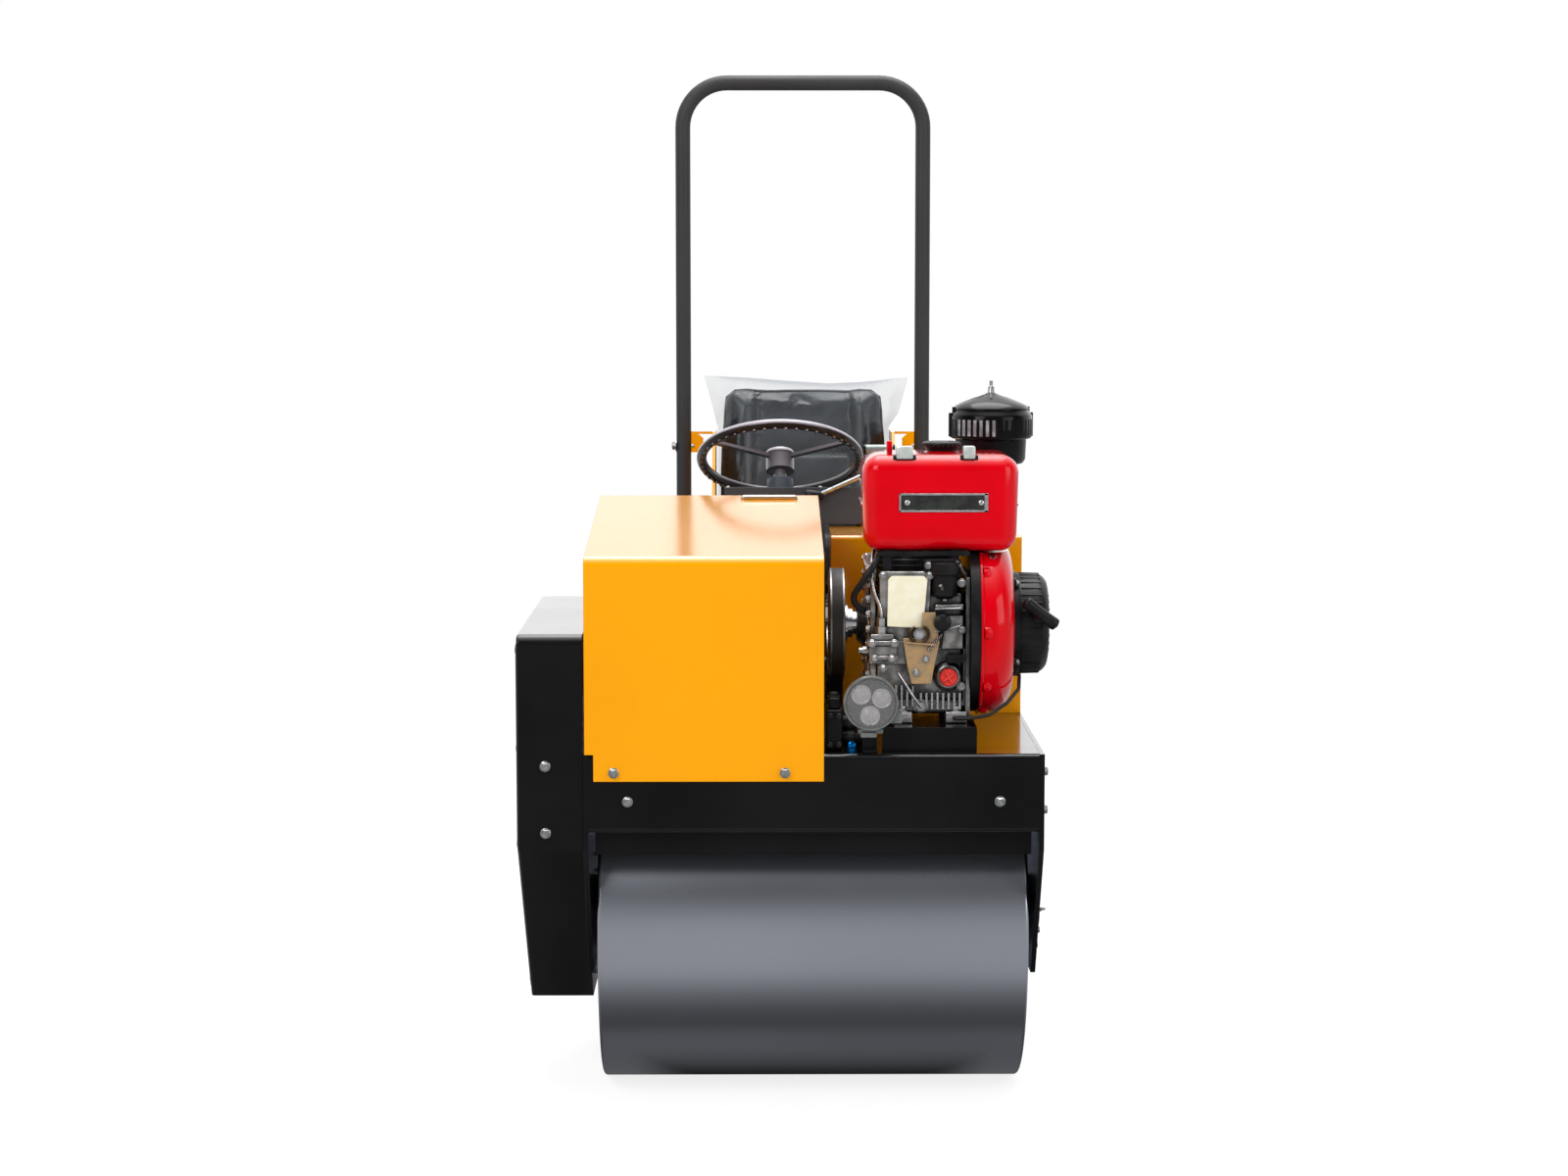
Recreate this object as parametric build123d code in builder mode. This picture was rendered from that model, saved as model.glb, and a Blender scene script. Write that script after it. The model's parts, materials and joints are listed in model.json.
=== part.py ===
import os
from math import cos, radians, sin, tan

from build123d import *

os.makedirs("parts", exist_ok=True)

# A small ride-on road roller with an articulated frame, in millimetres. Places are given in the machine's own
# measures: x from the centre plane, positive to the driver's left, y backward from the front drum's axle, and
# z up from the ground. The machine faces -Y.

# Drums
front_dia, front_width = 560, 700
rear_dia, rear_width = 425, 500
wheelbase = 1010
drum_wall, drum_edge = 14, 6
web_inset, web_thick = 45, 12
front_r, rear_r = front_dia / 2, rear_dia / 2

# Clearances: a journal in its bore, and pieces that seat on each other
running = 0.05
seat_gap = 0.3

# Drum journals and the bearing hubs that carry them in the side plates
axle_r, journal_end = 30, 3
hub_r, hub_depth = 60, 30
flange_r, flange_thick = 75, 14

# Front frame: side plates beside the drum, deck over it, ends before and behind it
plate, deck_thick, cross_thick = 8, 8, 12
side_gap, deck_gap, nose_gap, tail_gap = 10, 34, 55, 50
front_in = front_width / 2 + side_gap
front_out = front_in + plate
deck_low = front_dia + deck_gap
frame_top = deck_low + deck_thick
frame_front, frame_rear = -(front_r + nose_gap), front_r + tail_gap

# Chain case on the driver's right
case_width, case_wall = 105, 3
case_outer = front_out + case_width

# Articulation: its pin, and the two ears of the clevis that hold the pin
pivot_pin_r, pivot_reach, neck_reach = 20, 195, 115
lug_drop, lug_span, lug_plate = 102, 150, 16
pivot_y = frame_rear + pivot_reach
lug_high = frame_top - lug_drop
lug_low = lug_high - lug_span

# Rear frame: plates beside the drum, bulkhead behind the articulation, rear end, deck over the drum
rear_side_gap, rear_tail_gap, rear_deck_gap = 12, 7.5, 19
bulkhead_thick, rear_deck_thick = 10, 6
rear_in = rear_width / 2 + rear_side_gap
rear_out = rear_in + plate
bulkhead_y = pivot_y + neck_reach
rear_end_y = wheelbase + rear_r + rear_tail_gap + bulkhead_thick
rear_deck_z = rear_dia + rear_deck_gap + rear_deck_thick

# Foremost and outermost pieces: headlight, tow lug, grip of the recoil starter
lamp_front = frame_front - 17
lug_reach = 52
grip_end = 402

# Steering wheel: place of its hub and tilt of its shaft from the vertical
wheel_x, wheel_y, wheel_z = -49, 440, frame_top + 423
wheel_tilt = 29

# The machine is stored with its origin on the ground under the middle of its box.
middle_x = (grip_end - case_outer) / 2
middle_y = (lamp_front + rear_end_y + lug_reach) / 2


def side(x):
    """Upright plane across the machine: sketch in (y, z), extrude towards +x."""
    return Plane(origin=(x - middle_x, -middle_y, 0), x_dir=(0, 1, 0), z_dir=(1, 0, 0))


def level(z):
    """Horizontal plane: sketch in (x, y), extrude upward."""
    return Plane(origin=(-middle_x, -middle_y, z), x_dir=(1, 0, 0), z_dir=(0, 0, 1))


def facing(y):
    """Upright plane seen from the front: sketch in (x, z), extrude forward."""
    return Plane(origin=(-middle_x, y - middle_y, 0), x_dir=(1, 0, 0), z_dir=(0, -1, 0))


# --- Drums and their bearing hubs ------------------------------------------------------------------------


def drum(dia, width, y, plate_out):
    """A rolled shell on two inset webs, with a journal at each end."""
    with BuildPart() as roll:
        with BuildSketch(side(-width / 2)):
            with Locations((y, dia / 2)):
                Circle(dia / 2)
                Circle(dia / 2 - drum_wall, mode=Mode.SUBTRACT)
        extrude(amount=width)
        rims = roll.edges().filter_by(GeomType.CIRCLE).group_by(SortBy.RADIUS)[-1]
        fillet(rims, drum_edge)
        web_x = width / 2 - web_inset
        for end in (-1, 1):
            with BuildSketch(side(end * web_x)):
                with Locations((y, dia / 2)):
                    Circle(dia / 2 - drum_wall)
            extrude(amount=-end * web_thick)
            with BuildSketch(side(end * web_x)):
                with Locations((y, dia / 2)):
                    Circle(axle_r)
            extrude(amount=end * (plate_out + journal_end - web_x))
    return roll


def bearing_hub(hand, plate_in, y, z):
    """Bearing housing through a side plate, with its flange on the outside and a blind bore."""
    with BuildPart() as hub:
        with BuildSketch(side(hand * (plate_in - hub_depth))):
            with Locations((y, z)):
                Circle(hub_r)
        extrude(amount=hand * (hub_depth + plate))
        with BuildSketch(side(hand * (plate_in + plate))):
            with Locations((y, z)):
                Circle(flange_r)
        extrude(amount=hand * flange_thick)
        with BuildSketch(side(hand * (plate_in - hub_depth))):
            with Locations((y, z)):
                Circle(axle_r + running)
        extrude(amount=hand * (hub_depth + plate + 2 * journal_end), mode=Mode.SUBTRACT)
    return hub


front_drum = drum(front_dia, front_width, 0, front_out)
front_drum.part.label = "front_drum"
export_step(front_drum.part, "parts/front_drum.step")

rear_drum = drum(rear_dia, rear_width, wheelbase, rear_out)
rear_drum.part.label = "rear_drum"
export_step(rear_drum.part, "parts/rear_drum.step")

for name, hand, plate_in, y, z in (
    ("front_hub_right", -1, front_in, 0, front_r),
    ("front_hub_left", 1, front_in, 0, front_r),
    ("rear_hub_right", -1, rear_in, wheelbase, rear_r),
    ("rear_hub_left", 1, rear_in, wheelbase, rear_r),
):
    hub = bearing_hub(hand, plate_in, y, z)
    hub.part.label = name
    export_step(hub.part, f"parts/{name}.step")

# --- Front frame -----------------------------------------------------------------------------------------


def side_plate(x, outline, y, z):
    """A profile-cut side plate with the hole for its bearing hub."""
    with BuildPart() as cheek:
        with BuildSketch(side(x)):
            with BuildLine():
                Polyline(*outline, close=True)
            make_face()
            with Locations((y, z)):
                Circle(hub_r + seat_gap, mode=Mode.SUBTRACT)
        extrude(amount=plate)
    return cheek


knee_z = frame_top - 155
rear_knee_z = frame_top - 222
foot_half, foot_z = 200, front_r - 64
front_outline = [
    (frame_front, frame_top), (frame_rear, frame_top), (frame_rear, rear_knee_z),
    (foot_half, foot_z), (-foot_half, foot_z), (frame_front, knee_z),
]
for name, x in (("front_plate_right", -front_out), ("front_plate_left", front_in)):
    front_plate = side_plate(x, front_outline, 0, front_r)
    front_plate.part.label = name
    export_step(front_plate.part, f"parts/{name}.step")

# Front beam: a folded channel, open to the back, with an end plate against each side plate
beam_height, beam_depth, beam_wall, beam_bend = 127, 60, 6, 9
beam_back, beam_low = frame_front + beam_depth, frame_top - beam_height
beam_outline = [
    (frame_front, frame_top), (beam_back, frame_top), (beam_back, frame_top - beam_wall),
    (frame_front + beam_wall, frame_top - beam_wall), (frame_front + beam_wall, beam_low + beam_wall),
    (beam_back, beam_low + beam_wall), (beam_back, beam_low), (frame_front, beam_low),
]
with BuildPart() as front_beam:
    with BuildSketch(side(-front_in)) as beam_section:
        with BuildLine():
            Polyline(*beam_outline, close=True)
        make_face()
        fillet(beam_section.vertices().group_by(Axis.X)[1], beam_bend - beam_wall)
        fillet(beam_section.vertices().group_by(Axis.X)[0], beam_bend)
    extrude(amount=2 * front_in)
    for x in (-front_in, front_in - beam_wall):
        with BuildSketch(side(x)):
            with Locations((beam_back - beam_depth / 2 + beam_wall / 2, frame_top - beam_height / 2)):
                Rectangle(beam_depth - beam_wall, beam_height - 2 * beam_wall)
        extrude(amount=beam_wall)
front_beam.part.label = "front_beam"
export_step(front_beam.part, "parts/front_beam.step")

with BuildPart() as deck:
    with BuildSketch(level(deck_low)):
        with Locations((0, (beam_back + frame_rear) / 2)):
            Rectangle(2 * front_in, frame_rear - beam_back)
    extrude(amount=deck_thick)
deck.part.label = "deck"
export_step(deck.part, "parts/deck.step")

# Cross plate behind the front drum, which carries the articulation
cross_low = lug_low - 20
with BuildPart() as front_crossmember:
    with BuildSketch(facing(frame_rear)):
        with Locations((0, (cross_low + deck_low) / 2)):
            Rectangle(2 * front_in, deck_low - cross_low)
    extrude(amount=cross_thick)
front_crossmember.part.label = "front_crossmember"
export_step(front_crossmember.part, "parts/front_crossmember.step")

# Scraper under the beam: a hanging strip with its blade bent in, just clear of the drum
blade_gap, blade_thick, scraper_thick = 6, 6, 6
scraper_front, scraper_low = frame_front + 30, beam_low - 40
blade_low = scraper_low - blade_thick
blade_tip = -(((front_r + blade_gap) ** 2 - (blade_low - front_r) ** 2) ** 0.5)
scraper_half = front_in - 10
with BuildPart() as front_scraper:
    with BuildSketch(side(-scraper_half)):
        with BuildLine():
            Polyline(
                (scraper_front, beam_low), (scraper_front, scraper_low), (blade_tip, blade_low),
                (blade_tip, blade_low + blade_thick),
                (scraper_front + scraper_thick, scraper_low + scraper_thick),
                (scraper_front + scraper_thick, beam_low), close=True,
            )
        make_face()
    extrude(amount=2 * scraper_half)
front_scraper.part.label = "front_scraper"
export_step(front_scraper.part, "parts/front_scraper.step")

# Chain case: a hollow sheet-metal box on the right side plate, open there round the bearing hub
case_top, case_back = frame_top + 191, front_r - 24
case_front, case_foot, case_foot_z = frame_front + 2, 73, front_r - 133
case_edge, case_bend = 4, 17
case_opening = flange_r + 20
case_outline = [
    (case_front, case_top), (case_back, case_top), (case_back, knee_z),
    (case_foot, case_foot_z), (-case_foot, case_foot_z), (case_front, knee_z),
]
with BuildPart() as chain_case:
    with BuildSketch(side(-case_outer)) as case_side:
        with BuildLine():
            Polyline(*case_outline, close=True)
        make_face()
        fillet(case_side.vertices().group_by(Axis.Y)[-1], case_bend)
    extrude(amount=case_width)
    fillet(chain_case.faces().sort_by(Axis.X)[0].edges(), case_edge)
    with BuildSketch(side(-case_outer + case_wall)) as case_room:
        with BuildLine():
            Polyline(*case_outline, close=True)
        make_face()
        offset(amount=-case_wall, kind=Kind.INTERSECTION, mode=Mode.REPLACE)
        fillet(case_room.vertices().group_by(Axis.Y)[-1], case_bend - case_wall)
    extrude(amount=case_width - 2 * case_wall, mode=Mode.SUBTRACT)
    with BuildSketch(side(-front_out - case_wall)):
        with Locations((0, front_r)):
            Circle(case_opening)
    extrude(amount=case_wall, mode=Mode.SUBTRACT)
chain_case.part.label = "chain_case"
export_step(chain_case.part, "parts/chain_case.step")

# --- Articulation ----------------------------------------------------------------------------------------

# Clevis on the front frame: two round-ended ears, the pin through them and a stiffening web behind
pin_head, lug_end_r, lug_root = 6, 48, 60
web_reach, web_waist, web_half = 110, 60, 6
lug_middle = (lug_low + lug_high) / 2
with BuildPart() as pivot_clevis:
    for z in (lug_low, lug_high - lug_plate):
        with BuildSketch(level(z)):
            with BuildLine():
                Polyline((-lug_root, frame_rear), (lug_root, frame_rear), (lug_end_r, pivot_y),
                         (-lug_end_r, pivot_y), close=True)
            make_face()
            with Locations((0, pivot_y)):
                Circle(lug_end_r)
        extrude(amount=lug_plate)
    with BuildSketch(level(lug_low - pin_head)):
        with Locations((0, pivot_y)):
            Circle(pivot_pin_r)
    extrude(amount=lug_high - lug_low + 2 * pin_head)
    with BuildSketch(side(-web_half)):
        with BuildLine():
            Polyline((frame_rear, lug_low + lug_plate), (frame_rear, lug_high - lug_plate),
                     (frame_rear + web_reach, lug_high - lug_plate), (frame_rear + web_waist, lug_middle),
                     (frame_rear + web_reach, lug_low + lug_plate), close=True)
        make_face()
    extrude(amount=2 * web_half)
pivot_clevis.part.label = "pivot_clevis"
export_step(pivot_clevis.part, "parts/pivot_clevis.step")

# Neck of the rear frame, its barrel round the pin between the ears
barrel_r, barrel_gap = 36, 2
neck_half, neck_shoulder, neck_height = 45, 60, 80
barrel_low = lug_low + lug_plate + barrel_gap
barrel_height = lug_high - lug_low - 2 * (lug_plate + barrel_gap)
with BuildPart() as pivot_neck:
    with BuildSketch(level(barrel_low)):
        with Locations((0, pivot_y)):
            Circle(barrel_r)
    extrude(amount=barrel_height)
    with BuildSketch(level(lug_middle - neck_height / 2)):
        with BuildLine():
            Polyline((-barrel_r + 6, pivot_y), (barrel_r - 6, pivot_y), (neck_half, pivot_y + neck_shoulder),
                     (neck_half, bulkhead_y), (-neck_half, bulkhead_y), (-neck_half, pivot_y + neck_shoulder),
                     close=True)
        make_face()
    extrude(amount=neck_height)
    with BuildSketch(level(barrel_low)):
        with Locations((0, pivot_y)):
            Circle(pivot_pin_r + running)
    extrude(amount=barrel_height, mode=Mode.SUBTRACT)
pivot_neck.part.label = "pivot_neck"
export_step(pivot_neck.part, "parts/pivot_neck.step")

# Steering ram above the articulation. The rod's eye is the open end of the linkage: it has room on its pin.
ram_front_x, ram_front_y = -21, pivot_y - 150
ram_rear_x, ram_rear_y = 80, pivot_y + 16
ram_z = frame_top - 57
ram_pin_r, ram_eye_r, ram_eye_half, ram_play = 8, 19, 14, 5.5
ram_barrel_r, ram_rod_r = 20, 10
ram_barrel_end, ram_bore_start, ram_rod_start = 134, 24, 56
ram_ear, ram_ear_gap = 8, 2
ram_dx, ram_dy = ram_rear_x - ram_front_x, ram_rear_y - ram_front_y
ram_length = (ram_dx ** 2 + ram_dy ** 2) ** 0.5
ram_axis = Plane(
    origin=(ram_front_x - middle_x, ram_front_y - middle_y, ram_z),
    x_dir=(0, 0, 1), z_dir=(ram_dx / ram_length, ram_dy / ram_length, 0),
)

with BuildPart() as ram_barrel:
    with BuildSketch(level(ram_z - ram_eye_half)):
        with Locations((ram_front_x, ram_front_y)):
            Circle(ram_eye_r)
    extrude(amount=2 * ram_eye_half)
    with BuildSketch(ram_axis):
        Circle(ram_barrel_r)
    extrude(amount=ram_barrel_end)
    for z, height in ((ram_z + ram_eye_half, ram_barrel_r), (ram_z - ram_eye_half, -ram_barrel_r)):
        with BuildSketch(level(z)):
            with Locations((ram_front_x, ram_front_y)):
                Circle(ram_eye_r + ram_ear_gap)
        extrude(amount=height, mode=Mode.SUBTRACT)
    with BuildSketch(level(ram_z - ram_eye_half)):
        with Locations((ram_front_x, ram_front_y)):
            Circle(ram_pin_r + running)
    extrude(amount=2 * ram_eye_half, mode=Mode.SUBTRACT)
    with BuildSketch(ram_axis.offset(ram_bore_start)):
        Circle(ram_rod_r + running)
    extrude(amount=ram_barrel_end, mode=Mode.SUBTRACT)
ram_barrel.part.label = "ram_barrel"
export_step(ram_barrel.part, "parts/ram_barrel.step")

with BuildPart() as ram_rod:
    with BuildSketch(ram_axis.offset(ram_rod_start)):
        Circle(ram_rod_r)
    extrude(amount=ram_length - ram_rod_start)
    with BuildSketch(level(ram_z - ram_eye_half)):
        with Locations((ram_rear_x, ram_rear_y)):
            Circle(ram_eye_r)
    extrude(amount=2 * ram_eye_half)
    with BuildSketch(level(ram_z - ram_eye_half)):
        with Locations((ram_rear_x, ram_rear_y)):
            Circle(ram_pin_r + ram_play)
    extrude(amount=2 * ram_eye_half, mode=Mode.SUBTRACT)
ram_rod.part.label = "ram_rod"
export_step(ram_rod.part, "parts/ram_rod.step")

# Two ears with the pin between them, standing out from the cross plate of each frame
ram_reach = ram_eye_half + ram_ear_gap + ram_ear
for name, x, y, root_y in (
    ("ram_bracket_front", ram_front_x, ram_front_y, frame_rear),
    ("ram_bracket_rear", ram_rear_x, ram_rear_y, bulkhead_y),
):
    with BuildPart() as ram_bracket:
        for z in (ram_z - ram_reach, ram_z + ram_reach - ram_ear):
            with BuildSketch(level(z)):
                with Locations((x, y)):
                    Circle(ram_eye_r)
                with Locations((x, (y + root_y) / 2)):
                    Rectangle(2 * ram_eye_r, abs(y - root_y))
            extrude(amount=ram_ear)
        with BuildSketch(level(ram_z - ram_reach)):
            with Locations((x, y)):
                Circle(ram_pin_r)
        extrude(amount=2 * ram_reach)
    ram_bracket.part.label = name
    export_step(ram_bracket.part, f"parts/{name}.step")

# --- Rear frame ------------------------------------------------------------------------------------------

rear_top = rear_deck_z + 110
rear_foot_z, rear_foot_half, bulkhead_low, tail_low = 140, 110, lug_low - 50, 320
rear_outline = [
    (bulkhead_y, rear_top), (rear_end_y, rear_top), (rear_end_y, tail_low),
    (wheelbase + rear_foot_half, rear_foot_z), (wheelbase - rear_foot_half, rear_foot_z),
    (bulkhead_y, bulkhead_low),
]
for name, x in (("rear_plate_right", -rear_out), ("rear_plate_left", rear_in)):
    rear_plate = side_plate(x, rear_outline, wheelbase, rear_r)
    rear_plate.part.label = name
    export_step(rear_plate.part, f"parts/{name}.step")

bulkhead_top = ram_z + 30
with BuildPart() as rear_bulkhead:
    with BuildSketch(facing(bulkhead_y + bulkhead_thick)):
        with Locations((0, (bulkhead_low + bulkhead_top) / 2)):
            Rectangle(2 * rear_in, bulkhead_top - bulkhead_low)
    extrude(amount=bulkhead_thick)
rear_bulkhead.part.label = "rear_bulkhead"
export_step(rear_bulkhead.part, "parts/rear_bulkhead.step")

# Rear crossmember with the tow lug
lug_r, lug_hole_r, tow_z, lug_thick = 30, 12.5, 420, 16
lug_y = rear_end_y + lug_reach - lug_r
with BuildPart() as rear_crossmember:
    with BuildSketch(facing(rear_end_y)):
        with Locations((0, (tail_low + rear_top) / 2)):
            Rectangle(2 * rear_in, rear_top - tail_low)
    extrude(amount=bulkhead_thick)
    with BuildSketch(level(tow_z)):
        with Locations((0, lug_y)):
            Circle(lug_r)
        with Locations((0, (rear_end_y + lug_y) / 2)):
            Rectangle(2 * lug_r, lug_y - rear_end_y)
        with Locations((0, lug_y)):
            Circle(lug_hole_r, mode=Mode.SUBTRACT)
    extrude(amount=lug_thick)
rear_crossmember.part.label = "rear_crossmember"
export_step(rear_crossmember.part, "parts/rear_crossmember.step")

# Footplates beside the articulation, each with a raised outer side
step_in, step_front, step_z, step_thick = 110, pivot_y - 45, lug_low - 15, 5
step_lip, step_gusset, step_gusset_y = 30, 120, 30
for name, hand in (("footplate_right", -1), ("footplate_left", 1)):
    with BuildPart() as footplate:
        with BuildSketch(level(step_z)):
            with Locations((hand * (step_in + rear_in) / 2, (step_front + bulkhead_y) / 2)):
                Rectangle(rear_in - step_in, bulkhead_y - step_front)
        extrude(amount=step_thick)
        with BuildSketch(side(hand * rear_in)):
            with BuildLine():
                Polyline((step_front, step_z), (bulkhead_y, step_z), (bulkhead_y, step_z + step_gusset),
                         (bulkhead_y - step_gusset_y, step_z + step_gusset), (step_front, step_z + step_lip),
                         close=True)
            make_face()
        extrude(amount=-hand * step_thick)
    footplate.part.label = name
    export_step(footplate.part, f"parts/{name}.step")

# Deck over the rear drum, with the seat box, the water tank and the hoop on it
deck_back = rear_end_y - bulkhead_thick
with BuildPart() as rear_deck:
    with BuildSketch(level(rear_deck_z - rear_deck_thick)):
        with Locations((0, (bulkhead_y + bulkhead_thick + deck_back) / 2)):
            Rectangle(2 * rear_in, deck_back - bulkhead_y - bulkhead_thick)
    extrude(amount=rear_deck_thick)
rear_deck.part.label = "rear_deck"
export_step(rear_deck.part, "parts/rear_deck.step")

box_half, box_wall = 225, 4
box_front, box_back = bulkhead_y + bulkhead_thick, 990
box_top = rear_deck_z + 200
with BuildPart() as seat_box:
    with BuildSketch(level(rear_deck_z)):
        with Locations((0, (box_front + box_back) / 2)):
            Rectangle(2 * box_half, box_back - box_front)
    extrude(amount=box_top - rear_deck_z)
    with BuildSketch(level(rear_deck_z)):
        with Locations((0, (box_front + box_back) / 2)):
            Rectangle(2 * (box_half - box_wall), box_back - box_front - 2 * box_wall)
    extrude(amount=box_top - rear_deck_z - box_wall, mode=Mode.SUBTRACT)
seat_box.part.label = "seat_box"
export_step(seat_box.part, "parts/seat_box.step")

# Roll hoop: one bent tube, standing on the rear deck behind the seat box
hoop_y, hoop_half, hoop_tube_r = box_back + 10, 240, 15
hoop_top, hoop_bend = 1755, 88
with BuildPart() as hoop:
    with BuildLine(facing(hoop_y)) as hoop_path:
        FilletPolyline(
            (-hoop_half, rear_deck_z), (-hoop_half, hoop_top - hoop_tube_r),
            (hoop_half, hoop_top - hoop_tube_r), (hoop_half, rear_deck_z), radius=hoop_bend,
        )
    with BuildSketch(level(rear_deck_z)):
        with Locations((-hoop_half, hoop_y)):
            Circle(hoop_tube_r)
    sweep(path=hoop_path.wires()[0])
hoop.part.label = "hoop"
export_step(hoop.part, "parts/hoop.step")

# Water tank behind the hoop
tank_gap, water_top, water_corner, water_edge = 1, rear_deck_z + 340, 25, 15
water_front, water_back = hoop_y + hoop_tube_r + tank_gap, deck_back - 25
with BuildPart() as water_tank:
    with BuildSketch(level(rear_deck_z)):
        with Locations((0, (water_front + water_back) / 2)):
            RectangleRounded(2 * box_half, water_back - water_front, water_corner)
    extrude(amount=water_top - rear_deck_z)
    fillet(water_tank.faces().sort_by(Axis.Z)[-1].edges(), water_edge)
water_tank.part.label = "water_tank"
export_step(water_tank.part, "parts/water_tank.step")

# Guards beside the seat, each with a lug out to the hoop
guard_in, guard_thick, guard_front, guard_top = 174, 6, 760, box_top + 400
guard_slope_y, guard_slope_z, guard_tail = 120, 160, 10
strap_height, lug_height, lug_reach, lug_width = 5, 42, 24, 12
guard_back = hoop_y + guard_tail
for name, hand in (("seat_guard_right", -1), ("seat_guard_left", 1)):
    with BuildPart() as guard:
        with BuildSketch(side(hand * guard_in)):
            with BuildLine():
                Polyline((guard_front, box_top), (box_back, box_top), (box_back, rear_deck_z + box_wall),
                         (guard_back, rear_deck_z + box_wall), (guard_back, guard_top),
                         (guard_front + guard_slope_y, guard_top), (guard_front, guard_top - guard_slope_z),
                         close=True)
            make_face()
        extrude(amount=hand * guard_thick)
        lug_x, lug_top = hoop_half - hoop_tube_r, guard_top - 5
        with BuildSketch(facing(hoop_y + lug_width / 2)):
            with BuildLine():
                Polyline(*((hand * x, z) for x, z in (
                    (guard_in, lug_top), (lug_x, lug_top), (lug_x, lug_top - lug_height),
                    (lug_x - lug_reach * 0.6, lug_top - lug_height), (lug_x - lug_reach, lug_top - lug_height + 10),
                    (lug_x - lug_reach, lug_top - strap_height - 8), (lug_x - lug_reach * 0.6, lug_top - strap_height),
                    (guard_in, lug_top - strap_height),
                )), close=True)
            make_face()
        extrude(amount=lug_width)
    guard.part.label = name
    export_step(guard.part, f"parts/{name}.step")

# Seat: a bent steel pan, the cushion on it and the backrest against its upstand
seat_half, cushion_front, cushion_back, cushion_top = 158, 600, 890, box_top + 85
cushion_corner, cushion_edge = 45, 25
pan_thick, pan_half, pan_front, pan_upstand = 4, 140, 640, 260
back_low, back_top, back_lean, back_thick, back_y = box_top + 95, 1138, 8, 70, 865
back_half, back_corner, back_edge = seat_half - 2, 40, 20
lean = radians(back_lean)
back_plane = Plane(
    origin=(-middle_x, back_y - middle_y, back_low), x_dir=(1, 0, 0), z_dir=(0, -cos(lean), sin(lean)),
)
upstand_back = back_thick + seat_gap + pan_thick
upstand_foot = (back_low - box_top - upstand_back * sin(lean)) / cos(lean)
with BuildPart() as seat_pan:
    with BuildSketch(level(box_top)):
        with Locations((0, (pan_front + back_y + back_thick) / 2)):
            Rectangle(2 * pan_half, back_y + back_thick - pan_front)
    extrude(amount=pan_thick)
    with BuildSketch(back_plane.offset(-back_thick - seat_gap)):
        with Locations((0, (pan_upstand - upstand_foot) / 2)):
            Rectangle(2 * pan_half, pan_upstand + upstand_foot)
    extrude(amount=-pan_thick)
seat_pan.part.label = "seat_pan"
export_step(seat_pan.part, "parts/seat_pan.step")

cushion_low = box_top + pan_thick + seat_gap
with BuildPart() as seat_cushion:
    with BuildSketch(level(cushion_low)):
        with Locations((0, (cushion_front + cushion_back) / 2)):
            RectangleRounded(2 * seat_half, cushion_back - cushion_front, cushion_corner)
    extrude(amount=cushion_top - cushion_low)
    fillet(seat_cushion.faces().sort_by(Axis.Z)[-1].edges(), cushion_edge)
seat_cushion.part.label = "seat_cushion"
export_step(seat_cushion.part, "parts/seat_cushion.step")

back_length = (back_top - back_low) / cos(lean)
with BuildPart() as seat_back:
    with BuildSketch(back_plane):
        with Locations((0, back_length / 2)):
            RectangleRounded(2 * back_half, back_length, back_corner)
    extrude(amount=-back_thick)
    fillet(seat_back.faces().sort_by(Axis.Y)[0].edges(), back_edge)
seat_back.part.label = "seat_back"
export_step(seat_back.part, "parts/seat_back.step")

# --- Belt cover and what it covers -----------------------------------------------------------------------

cover_wall, cover_bend, cover_lap, cover_notch = 3, 18, 43, 14
cover_x0, cover_x1 = -front_out + 3, 16
cover_front, cover_back = frame_front - cover_wall, 178
cover_front_top, cover_back_top = frame_top + 315, frame_top + 375
pump_y, pump_z, pump_shaft_r = frame_front + 365, frame_top + 98, 12
with BuildPart() as belt_cover:
    with BuildSketch(side(cover_x0)) as cover_side:
        with BuildLine():
            Polyline((cover_front, frame_top), (cover_back, frame_top), (cover_back, cover_back_top),
                     (cover_front, cover_front_top), close=True)
        make_face()
        fillet(cover_side.vertices().group_by(Axis.Y)[-2], cover_bend)
    extrude(amount=cover_x1 - cover_x0)
    with BuildSketch(side(cover_x0 + cover_wall)) as cover_room:
        with BuildLine():
            Polyline((cover_front + cover_wall, frame_top), (cover_back - cover_wall, frame_top),
                     (cover_back - cover_wall, cover_back_top - cover_wall),
                     (cover_front + cover_wall, cover_front_top - cover_wall), close=True)
        make_face()
        fillet(cover_room.vertices().group_by(Axis.Y)[-2], cover_bend - cover_wall)
    extrude(amount=cover_x1 - cover_x0 - 2 * cover_wall, mode=Mode.SUBTRACT)
    with BuildSketch(facing(cover_front + cover_wall)):
        with Locations(((cover_x0 + cover_notch + cover_x1) / 2, frame_top - cover_lap / 2)):
            Rectangle(cover_x1 - cover_x0 - cover_notch, cover_lap)
    extrude(amount=cover_wall)
    with BuildSketch(side(cover_x1 - cover_wall)):
        with Locations((pump_y, pump_z)):
            Circle(pump_shaft_r + cover_wall)
    extrude(amount=cover_wall, mode=Mode.SUBTRACT)
belt_cover.part.label = "belt_cover"
export_step(belt_cover.part, "parts/belt_cover.step")

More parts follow.
